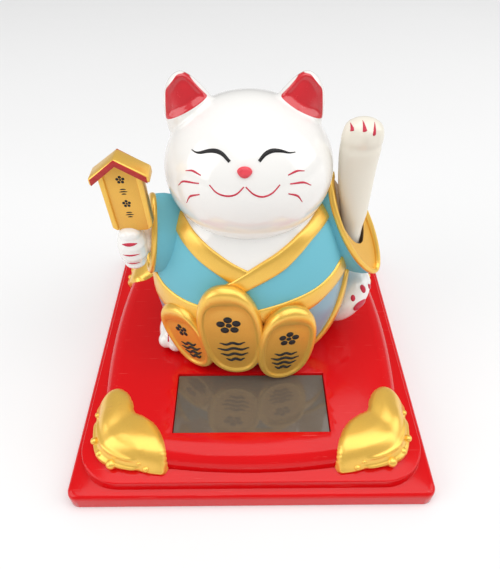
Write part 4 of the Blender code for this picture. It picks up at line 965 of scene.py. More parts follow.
class CAT_OT_base(bpy.types.Operator):
    """Build the flange, step and cushion, with the recess for the cell"""
    bl_idname = "cat.base"
    bl_label = "Cushion Base"

    def execute(self, context):
        base = context.scene.cat_base
        step_top = base.flange_height + base.step_height
        outer = self.outside(base, step_top)
        shell_skin = skin(outer, caps=False)
        absorb(shell_skin, skin(self.inside(base, step_top), caps=False))
        rims = [edge for edge in shell_skin.edges if edge.is_boundary]
        deck = [edge for edge in rims if edge.verts[0].co.z > step_top]
        feet = [edge for edge in rims if edge.verts[0].co.z < MM]
        bmesh.ops.holes_fill(shell_skin, edges=deck, sides=0)
        bmesh.ops.bridge_loops(shell_skin, edges=feet)
        shell = solid("cushion_base", shell_skin, base_red)

        centre_y = (CELL_LOW.y + CELL_HIGH.y) / 2
        cell = CELL_HIGH - CELL_LOW
        floor = CELL_LOW.z - CELL_GAP
        tray_low = floor - BASE_WALL / 2
        tray_high = BASE_HIGH.z - DECK_CROWN - BASE_WALL / 2
        tray = self.tool("tray", (cell.x + 2 * CELL_LEDGE, cell.y + 2 * CELL_LEDGE, tray_high - tray_low),
                         (0, centre_y, (tray_low + tray_high) / 2))
        combined(shell, tray, "UNION")
        recess = self.tool("recess", (cell.x + 2 * CELL_GAP, cell.y + 2 * CELL_GAP, 20 * MM),
                           (0, centre_y, floor + 10 * MM))
        combined(shell, recess, "DIFFERENCE")
        magnet = MAGNET_HIGH - MAGNET_LOW
        reach = (PIVOT.z - MAGNET_LOW.z) * math.sin(SWING) + magnet.y / 2 + PENDULUM_GAP
        opening = self.tool("opening", (magnet.x + 2 * PENDULUM_GAP, 2 * reach, 14 * MM),
                            ((MAGNET_LOW.x + MAGNET_HIGH.x) / 2, PIVOT.y, BASE_HIGH.z))
        combined(shell, opening, "DIFFERENCE")
        eased(shell, 0.22 * MM, angle=50)
        seated(shell, FIGURINE, "red_plastic", "base_shell")
        return {"FINISHED"}

    def ring(self, inset, corner, z):
        """A plain rounded rectangle, some way in from the flange's foot."""
        return base_outline(BASE_HIGH.x - inset, BASE_HIGH.y - inset, corner, 0, z)

    def tool(self, name, size, centre):
        """A block to join to the shell or cut from it."""
        bm = bmesh.new()
        add_block(bm, size, centre)
        return solid(name, bm)

    def outside(self, base, step_top):
        """Rings up the flange, the step and the cushion, and in across the deck."""
        rings = [self.ring(FLANGE_CHAMFER, base.flange_radius, 0),
                 self.ring(0, base.flange_radius, FLANGE_CHAMFER)]
        for angle in quarter_turn(4):
            rings.append(self.ring(DRAFT + base.edge_round * (1 - math.cos(angle)), base.flange_radius,
                                   base.flange_height - base.edge_round * (1 - math.sin(angle))))
        for back, rise in ((1, 0), (0.3, 0.3), (0, 1)):
            rings.append(self.ring(base.step_inset - STEP_FILLET * back, CUSHION_RADIUS,
                                   base.flange_height + STEP_FILLET * rise))
        edge = base.step_round
        for angle in quarter_turn(6):
            inset = base.step_inset + DRAFT + (edge - DRAFT) * (1 - math.cos(angle))
            rings.append(self.ring(inset, CUSHION_RADIUS, step_top - edge * (1 - math.sin(angle))))
        rings += [cushion_ring(base, step / 18) for step in range(19)]
        rings += [cushion_ring(base, 1 + step / 8 * 0.78) for step in range(1, 9)]
        return rings

    def inside(self, base, step_top):
        """Rings of the hollow, from under the deck down to the cover's recess and the foot."""
        inner = base.cushion_inset + BASE_WALL
        roll = base.cushion_round - BASE_WALL / 2
        under = BASE_HIGH.z - DECK_CROWN - BASE_WALL
        corner = CUSHION_RADIUS - BASE_WALL
        rings = [self.ring(inner + roll + 30 * MM, 6 * MM, under)]
        for angle in reversed(quarter_turn(6)):
            rings.append(self.ring(inner + roll * (1 - math.cos(angle)), corner,
                                   step_top + (under - step_top) * math.sin(angle)))
        cover_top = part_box("base_bottom_cover")[0].z + COVER_THICKNESS
        rings.append(self.ring(inner, corner, cover_top))
        rings += [self.ring(COVER_LIP, base.flange_radius, z) for z in (cover_top, 0)]
        return rings


# ------------------------------------------------------------------ corner ornaments
# plan ellipses of the two lobes, in millimetres from the base's middle: centre x and y, half width and depth
SIDE_LOBE = (40.5, 34.0, 6.6, 10.8)
FRONT_LOBE = (36.0, 46.0, 12.6, 14.6)
LOBE_CORNER = (45.5, 46.0)
# the ends of the ridges: way from the corner, height and size
BLOBS = ((16.0, 1.7, 0.62), (15.0, 3.4, 0.42))
# the beads round the corner: angle, height and size
BEADS = ((60, 1.8, 1.0), (42, 2.2, 0.9), (25, 2.6, 0.7))
CORNER_STEPS = 30
SIDE_STEPS = 90
CORNER_MARGIN = 42                  # columns of the cushion's skin that an ornament may take on each side


def lobe_depth(x, y, lobe):
    """How far inside a lobe's plan outline a point is, negative outside."""
    cx, cy, rx, ry = (value * MM for value in lobe)
    q = math.hypot((x - cx) / rx, (y - cy) / ry)
    return (1 - q) * min(rx, ry)


def soft_most(a, b, soft):
    """The larger of two, blended where they meet."""
    h = max(soft - abs(a - b), 0.0) / soft
    return max(a, b) + h * h * soft / 4


def rounded(depth, width):
    """A quarter-round rise from 0 to 1 over a width."""
    share = min(1.0, max(0.0, depth / width))
    return math.sqrt(1 - (1 - share) ** 2)


def ornament_lift(x, y, z, step_top, gold):
    """How far the ornament's skin stands off the cushion at a point of it."""
    inside = soft_most(lobe_depth(x, y, SIDE_LOBE), lobe_depth(x, y, FRONT_LOBE), 1.5 * MM)
    height = z - step_top
    along = abs(x - LOBE_CORNER[0] * MM) + abs(y - LOBE_CORNER[1] * MM)
    foot = height - 0.4 * MM - 0.3 * MM * math.sin(along / (1.9 * MM))
    depth = min(inside, foot)
    if depth < -0.7 * MM:
        return None
    if depth < 0:
        return depth
    edge = min(rounded(inside, 1.1 * MM), rounded(foot, 0.5 * MM))
    dome = min(1.0, max(0.0, inside - 0.6 * MM) / (5.5 * MM)) ** 0.8 * min(1.0, height / (5.0 * MM))
    skirt = math.exp(-max(0.0, height - 0.8 * MM) / (1.1 * MM))
    corner = math.exp(-((x - y) / (5.5 * MM)) ** 2) * max(0.0, 1 - height / (6.0 * MM))
    lift = edge * gold.relief * (0.75 + 0.9 * dome + 0.75 * skirt + 1.0 * corner)
    start, end = (along - 4 * MM) / (2 * MM), (17.0 * MM - along) / (2 * MM)
    fade = min(1.0, max(0.0, end)) * min(1.0, max(0.0, start))
    for line, strength in ((1.3 * MM + along * 0.02, 1.0), (2.9 * MM + along * 0.035, 0.75)):
        lift += gold.ridge * strength * fade * math.exp(-((height - line) / (0.30 * MM)) ** 2)
    return lift


class CAT_OT_ornaments(bpy.types.Operator):
    """Drape a gold ornament over each corner of the cushion"""
    bl_idname = "cat.ornaments"
    bl_label = "Corner Ornaments"

    def execute(self, context):
        base, gold = context.scene.cat_base, context.scene.cat_gold
        step_top = base.flange_height + base.step_height
        ways = [i / 44 for i in range(45)] + [1 + i / 44 * 0.62 for i in range(1, 45)]
        rings = [cushion_ring(base, way, corner_steps=CORNER_STEPS, side_steps=SIDE_STEPS) for way in ways]
        corners = (("rear_right", 1, 1), ("rear_left", -1, 1), ("front_left", -1, -1), ("front_right", 1, -1))
        for index, (label, sx, sy) in enumerate(corners):
            first = index * (CORNER_STEPS + SIDE_STEPS) - CORNER_MARGIN
            columns = [(first + i) % len(rings[0]) for i in range(CORNER_STEPS + 2 * CORNER_MARGIN)]
            grid = [[ring[column] for column in columns] for ring in rings]
            drape, surface = self.drape(grid, sx, sy, step_top, gold)
            piece = solid(f"corner_ornament_{label}_gold", drape, gold_leaf)
            piece.data.shade_smooth()
            seated(piece, FIGURINE, "gold_paint", f"corner_ornament_{label}")
            rows = self.beads(base, gold, sx, sy, step_top) + self.ridge_ends(surface, gold, sx, sy, step_top)
            seated(dots(f"ornament_beads_{label}", rows, gold_leaf), FIGURINE, "gold_paint")
        return {"FINISHED"}

    def drape(self, grid, sx, sy, step_top, gold):
        """The ornament's closed skin over a grid of the cushion's points, and its outer face's points."""
        bm = bmesh.new()
        verts = {}
        for r, row in enumerate(grid):
            for c, point in enumerate(row):
                lift = ornament_lift(abs(point.x), abs(point.y), point.z, step_top, gold)
                if lift is None:
                    continue
                across = row[min(c + 1, len(row) - 1)] - row[max(c - 1, 0)]
                upward = grid[min(r + 1, len(grid) - 1)][c] - grid[max(r - 1, 0)][c]
                verts[r, c] = bm.verts.new(point + across.cross(upward).normalized() * lift)
        for r in range(len(grid) - 1):
            for c in range(len(grid[0]) - 1):
                keys = ((r, c), (r, c + 1), (r + 1, c + 1), (r + 1, c))
                if all(key in verts for key in keys):
                    bm.faces.new([verts[key] for key in keys])
        bmesh.ops.delete(bm, geom=[vert for vert in bm.verts if not vert.link_faces], context="VERTS")
        surface = [vert.co.copy() for vert in bm.verts]
        under = bmesh.ops.duplicate(bm, geom=bm.verts[:] + bm.edges[:] + bm.faces[:])
        for vert in [part for part in under["geom"] if isinstance(part, bmesh.types.BMVert)]:
            vert.co += Vector((-sx, -sy, 0)) * 0.35 * MM - Vector((0, 0, 0.9 * MM))
        bmesh.ops.bridge_loops(bm, edges=[edge for edge in bm.edges if edge.is_boundary])
        return bm, surface

    def beads(self, base, gold, sx, sy, step_top):
        """Rows for the beads round the corner."""
        arc = Vector((BASE_HIGH.x, BASE_HIGH.y, 0)) - Vector((1, 1, 0)) * (
            base.cushion_inset + base.cushion_bulge + CUSHION_RADIUS)
        rows = []
        for degrees, rise, size in BEADS:
            angle = math.radians(degrees)
            outward = Vector((sx * math.cos(angle), sy * math.sin(angle), 0))
            centre = Vector((sx * arc.x, sy * arc.y, step_top + rise * MM))
            rows.append((centre + outward * (CUSHION_RADIUS + gold.relief * 1.6), gold.bead * size, outward))
        return rows

    def ridge_ends(self, surface, gold, sx, sy, step_top):
        """Rows for the knobs that end the ridges, set into the nearest point of the ornament's face."""
        reach = sum(LOBE_CORNER) * MM
        rows = []
        for along, rise, size in BLOBS:
            for side in (0, 1):
                def miss(point):
                    """How far a point is from the knob's place along and up the side."""
                    off = abs(point.x) + abs(point.y) - (reach - along * MM)
                    return abs(off) + abs(point.z - step_top - rise * MM)

                near = [point for point in surface if (abs(point.x) > abs(point.y)) == bool(side)]
                spot = min(near, key=miss)
                outward = Vector((sx * side, sy * (1 - side), 0.0))
                rows.append((spot - outward * gold.bead * size * 0.35, gold.bead * size, outward))
        return rows


# ------------------------------------------------------------------ the robed body
def body_radii(z):
    """Half width and half depth of the body at a height."""
    share = min(1.0, max(0.0, (z - BODY_FOOT) / BODY_HEIGHT))
    wide, deep = smooth_through(BODY_STATIONS, share)
    return BODY_WIDTH / 2 * wide, BODY_DEPTH / 2 * deep


def body_place(degrees, z_mm, lift=0.0):
    """A point of the body's surface and its normal, by the angle round it and its height in millimetres."""
    angle = math.radians(degrees)

    def at(a, z):
        wide, deep = body_radii(z)
        return Vector((wide * math.cos(a), BODY_CENTRE_Y + deep * math.sin(a), z))

    z = z_mm * MM
    along = at(angle + 0.02, z) - at(angle - 0.02, z)
    upward = at(angle, z + 0.3 * MM) - at(angle, z - 0.3 * MM)
    normal = along.cross(upward).normalized()
    return at(angle, z) + normal * lift, normal


# rows of a band on the body: angle and height of its upper edge, angle and height of its lower edge
LEFT_COLLAR = (
    (-266, 67.0, -266, 63.2), (-215, 66.6, -215, 62.9), (-180, 66.0, -180, 62.0), (-150, 65.2, -153, 61.9),
    (-129, 63.3, -136, 59.8), (-113, 60.8, -122, 57.1), (-101, 58.3, -110, 54.6), (-90, 56.0, -99, 51.8),
)
RIGHT_COLLAR = (
    (94, 67.0, 94, 63.2), (45, 66.7, 45, 63.2), (0, 66.4, 0, 62.8), (-28, 65.8, -28, 62.6),
    (-52, 64.2, -46, 61.4), (-64, 62.6, -59, 58.9), (-75, 60.5, -70, 55.9), (-85, 58.3, -81, 53.3),
    (-94, 55.6, -91, 50.7), (-103, 52.5, -100, 47.6), (-111, 49.6, -108, 44.8),
)
LEFT_HEM = (
    (-270, 42.0, -270, 36.5), (-235, 44.0, -235, 38.5), (-205, 48.0, -205, 42.5), (-178, 49.6, -178, 43.0),
    (-165, 46.6, -166, 37.0), (-153, 44.8, -152, 35.4), (-141, 43.9, -140, 35.2), (-128, 43.3, -128, 35.8),
    (-112, 43.2, -112, 37.0),
)
RIGHT_HEM = (
    (90, 42.0, 90, 36.5), (55, 44.5, 55, 39.0), (25, 48.6, 25, 42.6), (0, 51.2, 0, 45.2),
    (-24, 51.0, -26, 44.6), (-36, 49.4, -40, 43.0), (-47, 47.9, -52, 40.8), (-57, 46.9, -62, 39.8),
    (-68, 46.0, -72, 39.2), (-83, 44.4, -84, 38.4), (-100, 42.0, -100, 36.0),
)
SIDE_HEM = (
    (4, 47.0, -6, 46.0), (-6, 44.0, -18, 43.4), (-12, 39.5, -25, 39.2), (-17, 34.0, -31, 33.5),
    (-24, 28.5, -37, 28.0), (-31, 24.0, -43, 23.2), (-38, 20.0, -49, 19.2),
)


# a band's section: share of the way from its upper to its lower edge, and share of its relief
BAND_SECTION = (
    (0.0, -0.5), (0.03, 0.55), (0.10, 0.92), (0.30, 1.0), (0.70, 1.0), (0.90, 0.92), (0.97, 0.55),
    (1.0, -0.5), (0.75, -1.2), (0.25, -1.2),
)


def band(name, rows, relief):
    """A raised gold band that hugs the body between two edges."""
    rings = []
    for upper_angle, upper_z, lower_angle, lower_z in spread(rows, 12 * (len(rows) - 1)):
        rings.append([body_place(upper_angle + (lower_angle - upper_angle) * share,
                                 upper_z + (lower_z - upper_z) * share, relief * lift)[0]
                      for share, lift in BAND_SECTION])
    made = solid(name, skin(rings), gold_leaf)
    made.data.shade_smooth()
    return made


def edge_height(rows, degrees, upper):
    """Height of a band's edge, or None where the band doesn't reach."""
    column = 0 if upper else 2
    points = sorted((row[column], row[column + 1]) for row in rows)
    if not points[0][0] <= degrees <= points[-1][0]:
        return None
    (a, za), (b, zb) = next(pair for pair in zip(points, points[1:]) if degrees <= pair[1][0])
    return za + (zb - za) * (degrees - a) / max(b - a, 1e-6)


# the third finish is the robe's painted shade, laid on the lower body below the hems
ROBE, CHEST, ROBE_SHADE, SLOT = range(4)        # the body's finishes, in the order of its materials
BAND_OVERLAP = 1.5                              # how far a layer's edge hides under its band, in millimetres


def layer(degrees, z_mm):
    """Which finish the body shows at a place: the chest, the robe, or the robe's painted shade below the
    hems.
    """
    around = [degrees + turn for turn in (-360, 0, 360)]
    collars = [edge_height(rows, angle, True) for rows in (LEFT_COLLAR, RIGHT_COLLAR) for angle in around]
    hems = [edge_height(rows, angle, False) for rows in (LEFT_HEM, RIGHT_HEM) for angle in around]
    if z_mm > max((z - BAND_OVERLAP for z in collars if z is not None), default=math.inf):
        return CHEST
    if z_mm < max((z + BAND_OVERLAP for z in hems if z is not None), default=-math.inf):
        return ROBE_SHADE
    return ROBE


def swing_tool(name, index):
    """The room that the waving arm sweeps, as a tool whose faces take the material at that index."""
    rings = []
    bottom = -ARM_NECK[1] - 2 * ARM_CLEARANCE
    top = ARM_STATIONS[-2][0]
    for level in range(24):
        rise = top * level / 23
        aside, forward, wide, deep = smooth_through(ARM_STATIONS, rise)
        half_width = max(wide, ARM_NECK[0]) + ARM_CLEARANCE
        reach = max(deep, ARM_NECK[1]) + ARM_CLEARANCE
        sweep = abs(rise) * math.sin(SWING)

        def swept(angle):
            """A point of the room's outline at this level."""
            side = math.sin(angle)
            shift = sweep * max(-1.0, min(1.0, side * 3)) - (forward if side < 0 else 0)
            return PIVOT + Vector((aside + half_width * math.cos(angle), shift + reach * side,
                                   rise if level else bottom)) * MM

        rings.append(ring_of(48, swept))
    tool = solid(name, skin(rings), slot_brown)
    for face in tool.data.polygons:
        face.material_index = index
    return tool


class CAT_OT_robe(bpy.types.Operator):
    """Build the robed body with its collar, hems and chest"""
    bl_idname = "cat.robe"
    bl_label = "Robed Body"

    def execute(self, context):
        robe = context.scene.cat_robe
        around, up = 160, 84
        degrees_round = [360 * i / around for i in range(around)]
        heights = [BODY_FOOT + BODY_HEIGHT * i / (up - 1) for i in range(up)]
        outer = [[body_place(degrees, z / MM)[0] for degrees in degrees_round] for z in heights]
        inner = []
        for z in heights[::-7]:
            wide, deep = (radius - robe.wall for radius in body_radii(z))
            angles = map(math.radians, degrees_round)
            inner.append([Vector((wide * math.cos(angle), BODY_CENTRE_Y + deep * math.sin(angle), z))
                          for angle in angles])
        inner.append([Vector((point.x, point.y, BODY_FOOT)) for point in inner[-1]])
        # the third finish is the robe's painted shade below the hems
        finishes = (robe_blue, paw_white, robe_painted_shade, slot_brown)
        body = solid("robed_body", skin(outer + inner, closed=True), *finishes)
        for face in body.data.polygons:
            centre = face.center
            wide, deep = body_radii(centre.z)
            degrees = math.degrees(math.atan2((centre.y - BODY_CENTRE_Y) / deep, centre.x / wide))
            face.material_index = layer(degrees, centre.z / MM)
        combined(body, swing_tool("shoulder_room", SLOT), "DIFFERENCE")
        seated(body, FIGURINE, "robe_blue", "body_front_shell", "body_rear_shell")
        bands = (("collar_left", LEFT_COLLAR, 1.0), ("collar_right", RIGHT_COLLAR, 1.6),
                 ("hem_left", LEFT_HEM, 1.0), ("hem_right", RIGHT_HEM, 1.0), ("hem_side", SIDE_HEM, 1.9))
        for label, rows, factor in bands:
            seated(band(label, rows, robe.band_relief * factor), FIGURINE, "gold_paint")
        return {"FINISHED"}


# ------------------------------------------------------------------ head and face
# height, inner edge, outer edge and half depth of an ear, in millimetres; edges from the ears' middle
EAR_STATIONS = (
    (82.0, 5.6, 17.6, 4.6), (86.0, 5.8, 18.5, 4.5), (89.0, 6.2, 18.9, 4.2), (91.5, 6.9, 18.9, 3.8),
    (93.5, 8.1, 18.6, 3.3), (95.3, 9.6, 18.0, 2.8), (96.8, 11.1, 17.1, 2.2), (97.8, 12.4, 16.1, 1.6),
    (98.4, 13.5, 15.0, 0.8),
)
EAR_CENTRE_Y = 5.2 * MM
EAR_FOOT = 84 * MM                  # the hollows start above this
HOLLOW_EDGE = 1.4 * MM              # over how much of its outline a hollow sinks in


def head_place(x_mm, z_mm):
    """A point of the face and its normal, by its place across and its height in millimetres."""
    x = x_mm * MM - HEAD_CENTRE.x
    z = z_mm * MM - HEAD_CENTRE.z
    tall = HEAD_RADII.z if z > 0 else HEAD_JAW
    left = max(0.0, 1 - (x / HEAD_RADII.x) ** 2 - (z / tall) ** 2)
    y = -HEAD_RADII.y * math.sqrt(left)
    normal = Vector((x / HEAD_RADII.x ** 2, y / HEAD_RADII.y ** 2, z / tall ** 2)).normalized()
    return HEAD_CENTRE + Vector((x, y, z)), normal


def ear_edge(x, z):
    """Signed distance to the outline of an ear's hollow, negative inside."""
    out = abs(x - EAR_MIDDLE)
    edge = -1.0
    for u, v, nu, nv in EAR_SIDES:
        edge = soft_most(edge, (out - u * MM) * nu + (z - v * MM) * nv, EAR_SOFT)
    return edge


class CAT_OT_head(bpy.types.Operator):
    """Build the head and its hollowed ears as one smooth skin"""
    bl_idname = "cat.head"
    bl_label = "Head and Ears"

    def execute(self, context):
        coat = context.scene.cat_coat
        bm = bmesh.new()
        add_ball(bm, HEAD_CENTRE, HEAD_RADII, segments=96)
        for vert in bm.verts:
            if vert.co.z < HEAD_CENTRE.z:
                vert.co.z = HEAD_CENTRE.z + (vert.co.z - HEAD_CENTRE.z) * HEAD_JAW / HEAD_RADII.z
        for side in (-1, 1):
            ear = skin([self.ear_ring(side, *station) for station in EAR_STATIONS])
            bmesh.ops.recalc_face_normals(ear, faces=ear.faces)
            absorb(bm, ear)
        head = solid("head", bm, head_paint)
        fused(head, 0.42 * MM, 8)
        for vert in head.data.vertices:
            x, y, z = vert.co
            if y <= EAR_FRONT and z >= EAR_FOOT:
                share = min(1.0, max(0.0, -ear_edge(x, z)) / HOLLOW_EDGE)
                vert.co.y += coat.ear_hollow * share * share * (3 - 2 * share)
        seated(head, FIGURINE, "white_gloss", "head_front_shell", "head_rear_shell")
        return {"FINISHED"}

    def ear_ring(self, side, z, near, far, deep):
        """An oval section of one ear."""
        middle, half = (near + far) / 2, (far - near) / 2
        return ring_of(40, lambda angle: Vector((
            EAR_MIDDLE + side * (middle + half * math.cos(angle)) * MM,
            EAR_CENTRE_Y + deep * math.sin(angle) * MM, z * MM)))


# lines on the face as places across and up, in millimetres
EYES = (
    ((-13.1, 86.2), (-12.2, 86.1), (-11.2, 86.3), (-9.3, 87.0), (-7.6, 87.3), (-6.1, 87.0), (-4.6, 85.9)),
    ((9.8, 86.5), (8.4, 86.7), (6.6, 87.3), (4.7, 87.6), (3.1, 87.2), (1.8, 86.1)),
)
MOUTH = (
    ((-9.2, 80.8), (-7.6, 79.4), (-5.4, 79.0), (-3.3, 79.6), (-1.55, 81.3)),
    ((-1.15, 81.3), (0.6, 79.7), (2.6, 79.0), (4.7, 79.6), (6.4, 81.2)),
)
WHISKERS = (
    ((-14.7, 82.0), (-13.0, 82.6), (-11.1, 82.3)), ((-16.8, 77.8), (-15.3, 79.5), (-11.6, 80.5)),
    ((-15.1, 74.1), (-14.0, 76.5), (-11.6, 78.0)), ((12.0, 82.6), (10.2, 83.1), (8.2, 82.8)),
    ((13.8, 78.9), (11.8, 80.3), (8.7, 80.9)), ((11.9, 75.5), (10.6, 77.6), (8.4, 78.8)),
)
NOSE = (-1.35, 84.3)
# height of a ring over the face, in millimetres, and share of the nose's full outline
NOSE_RINGS = ((-0.5, 1.0), (0.05, 1.0), (0.35, 0.92), (0.58, 0.74), (0.72, 0.45), (0.76, 0.12))


class CAT_OT_face(bpy.types.Operator):
    """Paint the closed eyes, the mouth and whiskers, and set the nose"""
    bl_idname = "cat.face"
    bl_label = "Face"

    def execute(self, context):
        coat = context.scene.cat_coat
        lids = [painted(head_place, line, coat.eye_width, (0.22, 0.72), 0.66) for line in EYES]
        eyes = strokes("closed_eyes", lids, ink_black)
        lines = [painted(head_place, line, coat.whisker_width, (0.7, 0.7)) for line in MOUTH]
        lines += [painted(head_place, line, coat.whisker_width * 1.1, (0.4, 0.6), 0.6) for line in WHISKERS]
        mouth = strokes("mouth_and_whiskers", lines, line_red, sides=10)
        point, normal = head_place(*NOSE)
        turn = normal.to_track_quat("Z", "Y").to_matrix().to_4x4()
        rings = []
        for height, scale in NOSE_RINGS:
            def rosy(angle):
                """A point of the nose's heart-like outline at this height."""
                wide = 1.68 * (1 - 0.2 * max(0.0, -math.sin(angle))) * math.cos(angle)
                tall = math.sin(angle) * (1.15 if math.sin(angle) > 0 else 1.42)
                return point + turn @ (Vector((wide * scale, tall * scale, height)) * MM)

            rings.append(ring_of(48, rosy))
        nose = solid("nose", skin(rings), nose_red)
        nose.data.shade_smooth()
        seated(eyes, FIGURINE, "black_plastic")
        seated(mouth, FIGURINE, "lead_red")
        seated(nose, FIGURINE, "lead_red")
        return {"FINISHED"}


# ------------------------------------------------------------------ sleeves
# mouth's centre, long axis, facing, half length, half width and depth
LEFT_SLEEVE = (Vector((28.8, 0.6, 58.6)) * MM, Vector((0.47, -0.18, -0.86)), Vector((0.69, -0.53, 0.49)),
               16.5 * MM, 6.6 * MM, 14 * MM)
RIGHT_SLEEVE = (Vector((-26.9, -0.93, 57.1)) * MM, Vector((-0.16, -0.12, -0.98)),
                Vector((-0.95, -0.22, 0.18)), 11.8 * MM, 7.6 * MM, 12 * MM)
# share of the sleeve's depth behind its mouth, and share of the mouth's size, from the back to the mouth
SLEEVE_SKIN = ((1.0, 0.70), (0.8, 0.84), (0.6, 0.95), (0.4, 1.01), (0.25, 1.03), (0.12, 1.02), (0.0, 1.0))
SLEEVE_WALL = 1.1 * MM
SLEEVE_STEPS = 72


def sleeve_axes(spec):
    """The sleeve's long, wide and facing axes, square to each other."""
    long_axis = spec[1].normalized()
    facing = (spec[2] - long_axis * spec[2].dot(long_axis)).normalized()
    return long_axis, facing.cross(long_axis), facing


def mouth_ring(spec, behind, scale, shrink=0.0):
    """A ring of the sleeve, some way behind its mouth."""
    centre, _, _, half_length, half_width, _ = spec
    long_axis, wide_axis, facing = sleeve_axes(spec)
    middle = centre - facing * behind
    long, wide = half_length * scale - shrink, half_width * scale - shrink

    def at(angle):
        """A point of the mouth's outline, a little squarer than an ellipse."""
        square = math.sin(angle) * (0.82 + 0.18 * abs(math.sin(angle)))
        return middle + long_axis * long * math.cos(angle) + wide_axis * wide * square

    return ring_of(SLEEVE_STEPS, at)


def make_sleeve(name, spec, sink):
    """A sleeve: turquoise outside, a rolled gold rim and a dished gold lining."""
    centre, depth = spec[0], spec[5]
    facing = sleeve_axes(spec)[2]
    outer = [mouth_ring(spec, depth * share, scale) for share, scale in SLEEVE_SKIN]
    lining = [mouth_ring(spec, share * sink, 1.0, SLEEVE_WALL * thick)
              for share, thick in ((0.0, 1.0), (0.35, 1.3), (0.75, 2.0))]
    lining += [mouth_ring(spec, sink * (1.25 - 0.25 * share), share, SLEEVE_WALL)
               for share in (0.80, 0.6, 0.4, 0.2, 0.06)]
    sleeve = solid(name, skin(outer + lining), robe_blue, gold_face, slot_brown)
    outside = (len(outer) - 1) * SLEEVE_STEPS
    for index, face in enumerate(sleeve.data.polygons):
        cap = len(face.vertices) == 3
        blue = (centre - face.center).dot(facing) > depth * 0.6 if cap else index < outside
        face.material_index = 0 if blue else 1
    rim_line = [(point + facing * 0.1 * MM, 0.85 * MM) for point in mouth_ring(spec, 0.0, 1.0, 0.45 * MM)]
    rim = strokes(f"{name}_rim", [rim_line], gold_leaf, sides=14, cyclic=True)
    return sleeve, rim


class CAT_OT_sleeves(bpy.types.Operator):
    """Build both sleeves with their gold rims and linings"""
    bl_idname = "cat.sleeves"
    bl_label = "Sleeves"

    def execute(self, context):
        left, left_rim = make_sleeve("left_sleeve_robe", LEFT_SLEEVE, 0.15 * MM)
        left.data.shade_smooth()
        combined(left, swing_tool("sleeve_slot", 2), "DIFFERENCE")
        combined(left_rim, swing_tool("rim_slot", 0), "DIFFERENCE")
        right, right_rim = make_sleeve("right_sleeve_robe", RIGHT_SLEEVE, 3.0 * MM)
        right.data.shade_smooth()
        right.data.set_sharp_from_angle(angle=math.radians(50))
        seated(left, FIGURINE, "robe_blue", "left_sleeve")
        seated(left_rim, FIGURINE, "gold_paint")
        seated(right, FIGURINE, "robe_blue", "right_sleeve")
        seated(right_rim, FIGURINE, "gold_paint")
        return {"FINISHED"}


# ------------------------------------------------------------------ right paw and wish board
PAW_FINGERS = (63.9, 60.8, 57.7, 54.8)          # heights, in millimetres
# height, half thickness and half length of the paw's claw lines, in millimetres
PAW_CLAWS = ((62.3, 0.50, 1.9), (59.2, 0.30, 2.15), (56.1, 0.30, 1.75))
BEFORE = -40 * MM                               # where rays from the front start


class CAT_OT_right_paw(bpy.types.Operator):
    """Build the closed right paw with its three claw lines"""
    bl_idname = "cat.right_paw"
    bl_label = "Right Paw"

    def execute(self, context):
        bm = bmesh.new()
        add_ball(bm, PAW_CENTRE, PAW_RADII, segments=40)
        for z in PAW_FINGERS:
            narrow = math.sqrt(max(0.1, 1 - ((z * MM - PAW_CENTRE.z) / (PAW_RADII.z * 1.08)) ** 2))
            add_ball(bm, Vector((PAW_CENTRE.x + 0.1 * MM, PAW_CENTRE.y - 1.0 * MM, z * MM)),
                     (3.75 * MM * narrow, 3.5 * MM * narrow, 1.85 * MM), segments=24)
        wrist = PAW_CENTRE + Vector((1, 1, -0.5)) * MM
        elbow = RIGHT_SLEEVE[0] + Vector((6, 4, -1)) * MM
        for share in (0.0, 0.2, 0.4, 0.6, 0.8):
            add_ball(bm, wrist.lerp(elbow, share), (3.3 * MM,) * 3, segments=24)
        paw = solid("right_paw_white", bm, paw_white)
        fused(paw, 0.32 * MM, 7)
        seated(paw, FIGURINE, "white_gloss", "right_paw")
        bpy.context.view_layer.update()
        lines = []
        for z, thick, half in PAW_CLAWS:
            starts = []
            for step in range(17):
                share = step / 16
                x = PAW_CENTRE.x + 0.2 * MM + (2 * share - 1) * half * MM
                starts.append(Vector((x, BEFORE, (z + 0.15 * math.sin(math.pi * share)) * MM)))
            full = thick * MM / math.sqrt(1 - SUNK ** 2)
            lines.append(cast_stroke(paw, starts, Vector((0, 1, 0)),
                                     lambda share: full * max(0.2, math.sin(math.pi * share) ** 0.6)))
        seated(strokes("right_paw_claws", lines, line_red), FIGURINE, "lead_red")
        return {"FINISHED"}


def blossom(centre, across, up, facing, size):
    """Rows for a five-petalled blossom of dots."""
    rows = [(centre, size * 0.24, facing)]
    for petal in range(5):
        angle = math.radians(90 + 72 * petal)
        offset = (across * math.cos(angle) + up * math.sin(angle)) * size * 0.62
        rows.append((centre + offset, size * 0.33, facing))
    return rows


def panel(outline, near, far):
    """An upright slab from an outline of x and z, in millimetres."""
    bm = bmesh.new()
    front, back = ([bm.verts.new((x * MM, y * MM, z * MM)) for x, z in outline] for y in (near, far))
    bm.faces.new(front)
    bm.faces.new(back)
    for i in range(len(outline)):
        j = (i + 1) % len(outline)
        bm.faces.new((front[i], front[j], back[j], back[i]))
    return bm


# the board's own sizes, in millimetres from the foot of its panel
BOARD_HALF = 5.0
BOARD_HEIGHT = 13.6
BOARD_THICK = 3.4
BOARD_RECESS = 0.55
BOARD_FOOT = 1.6                    # how far the foot's bevelled corners reach in and down
RAIL = 1.25
EAVE = 6.95
ROOF_RISE = 4.6
ROOF_HALF = 1.0                     # half the roof's thickness, upright
ROOF_DEPTH = 2.6
ROOF_INSET = 0.45
SHOULDER = BOARD_HEIGHT + ROOF_RISE * (1 - BOARD_HALF / EAVE)
WAVES = ((0.55, 1.1), (-0.1, 1.5), (-0.75, 0.9))


def roof_line(inset, lift):
    """The three points of a roof's edge: an eave, the ridge and the other eave."""
    eave, ridge = BOARD_HEIGHT + lift[0], BOARD_HEIGHT + ROOF_RISE + lift[1]
    return [(-EAVE + inset, eave), (0, ridge), (EAVE - inset, eave)]


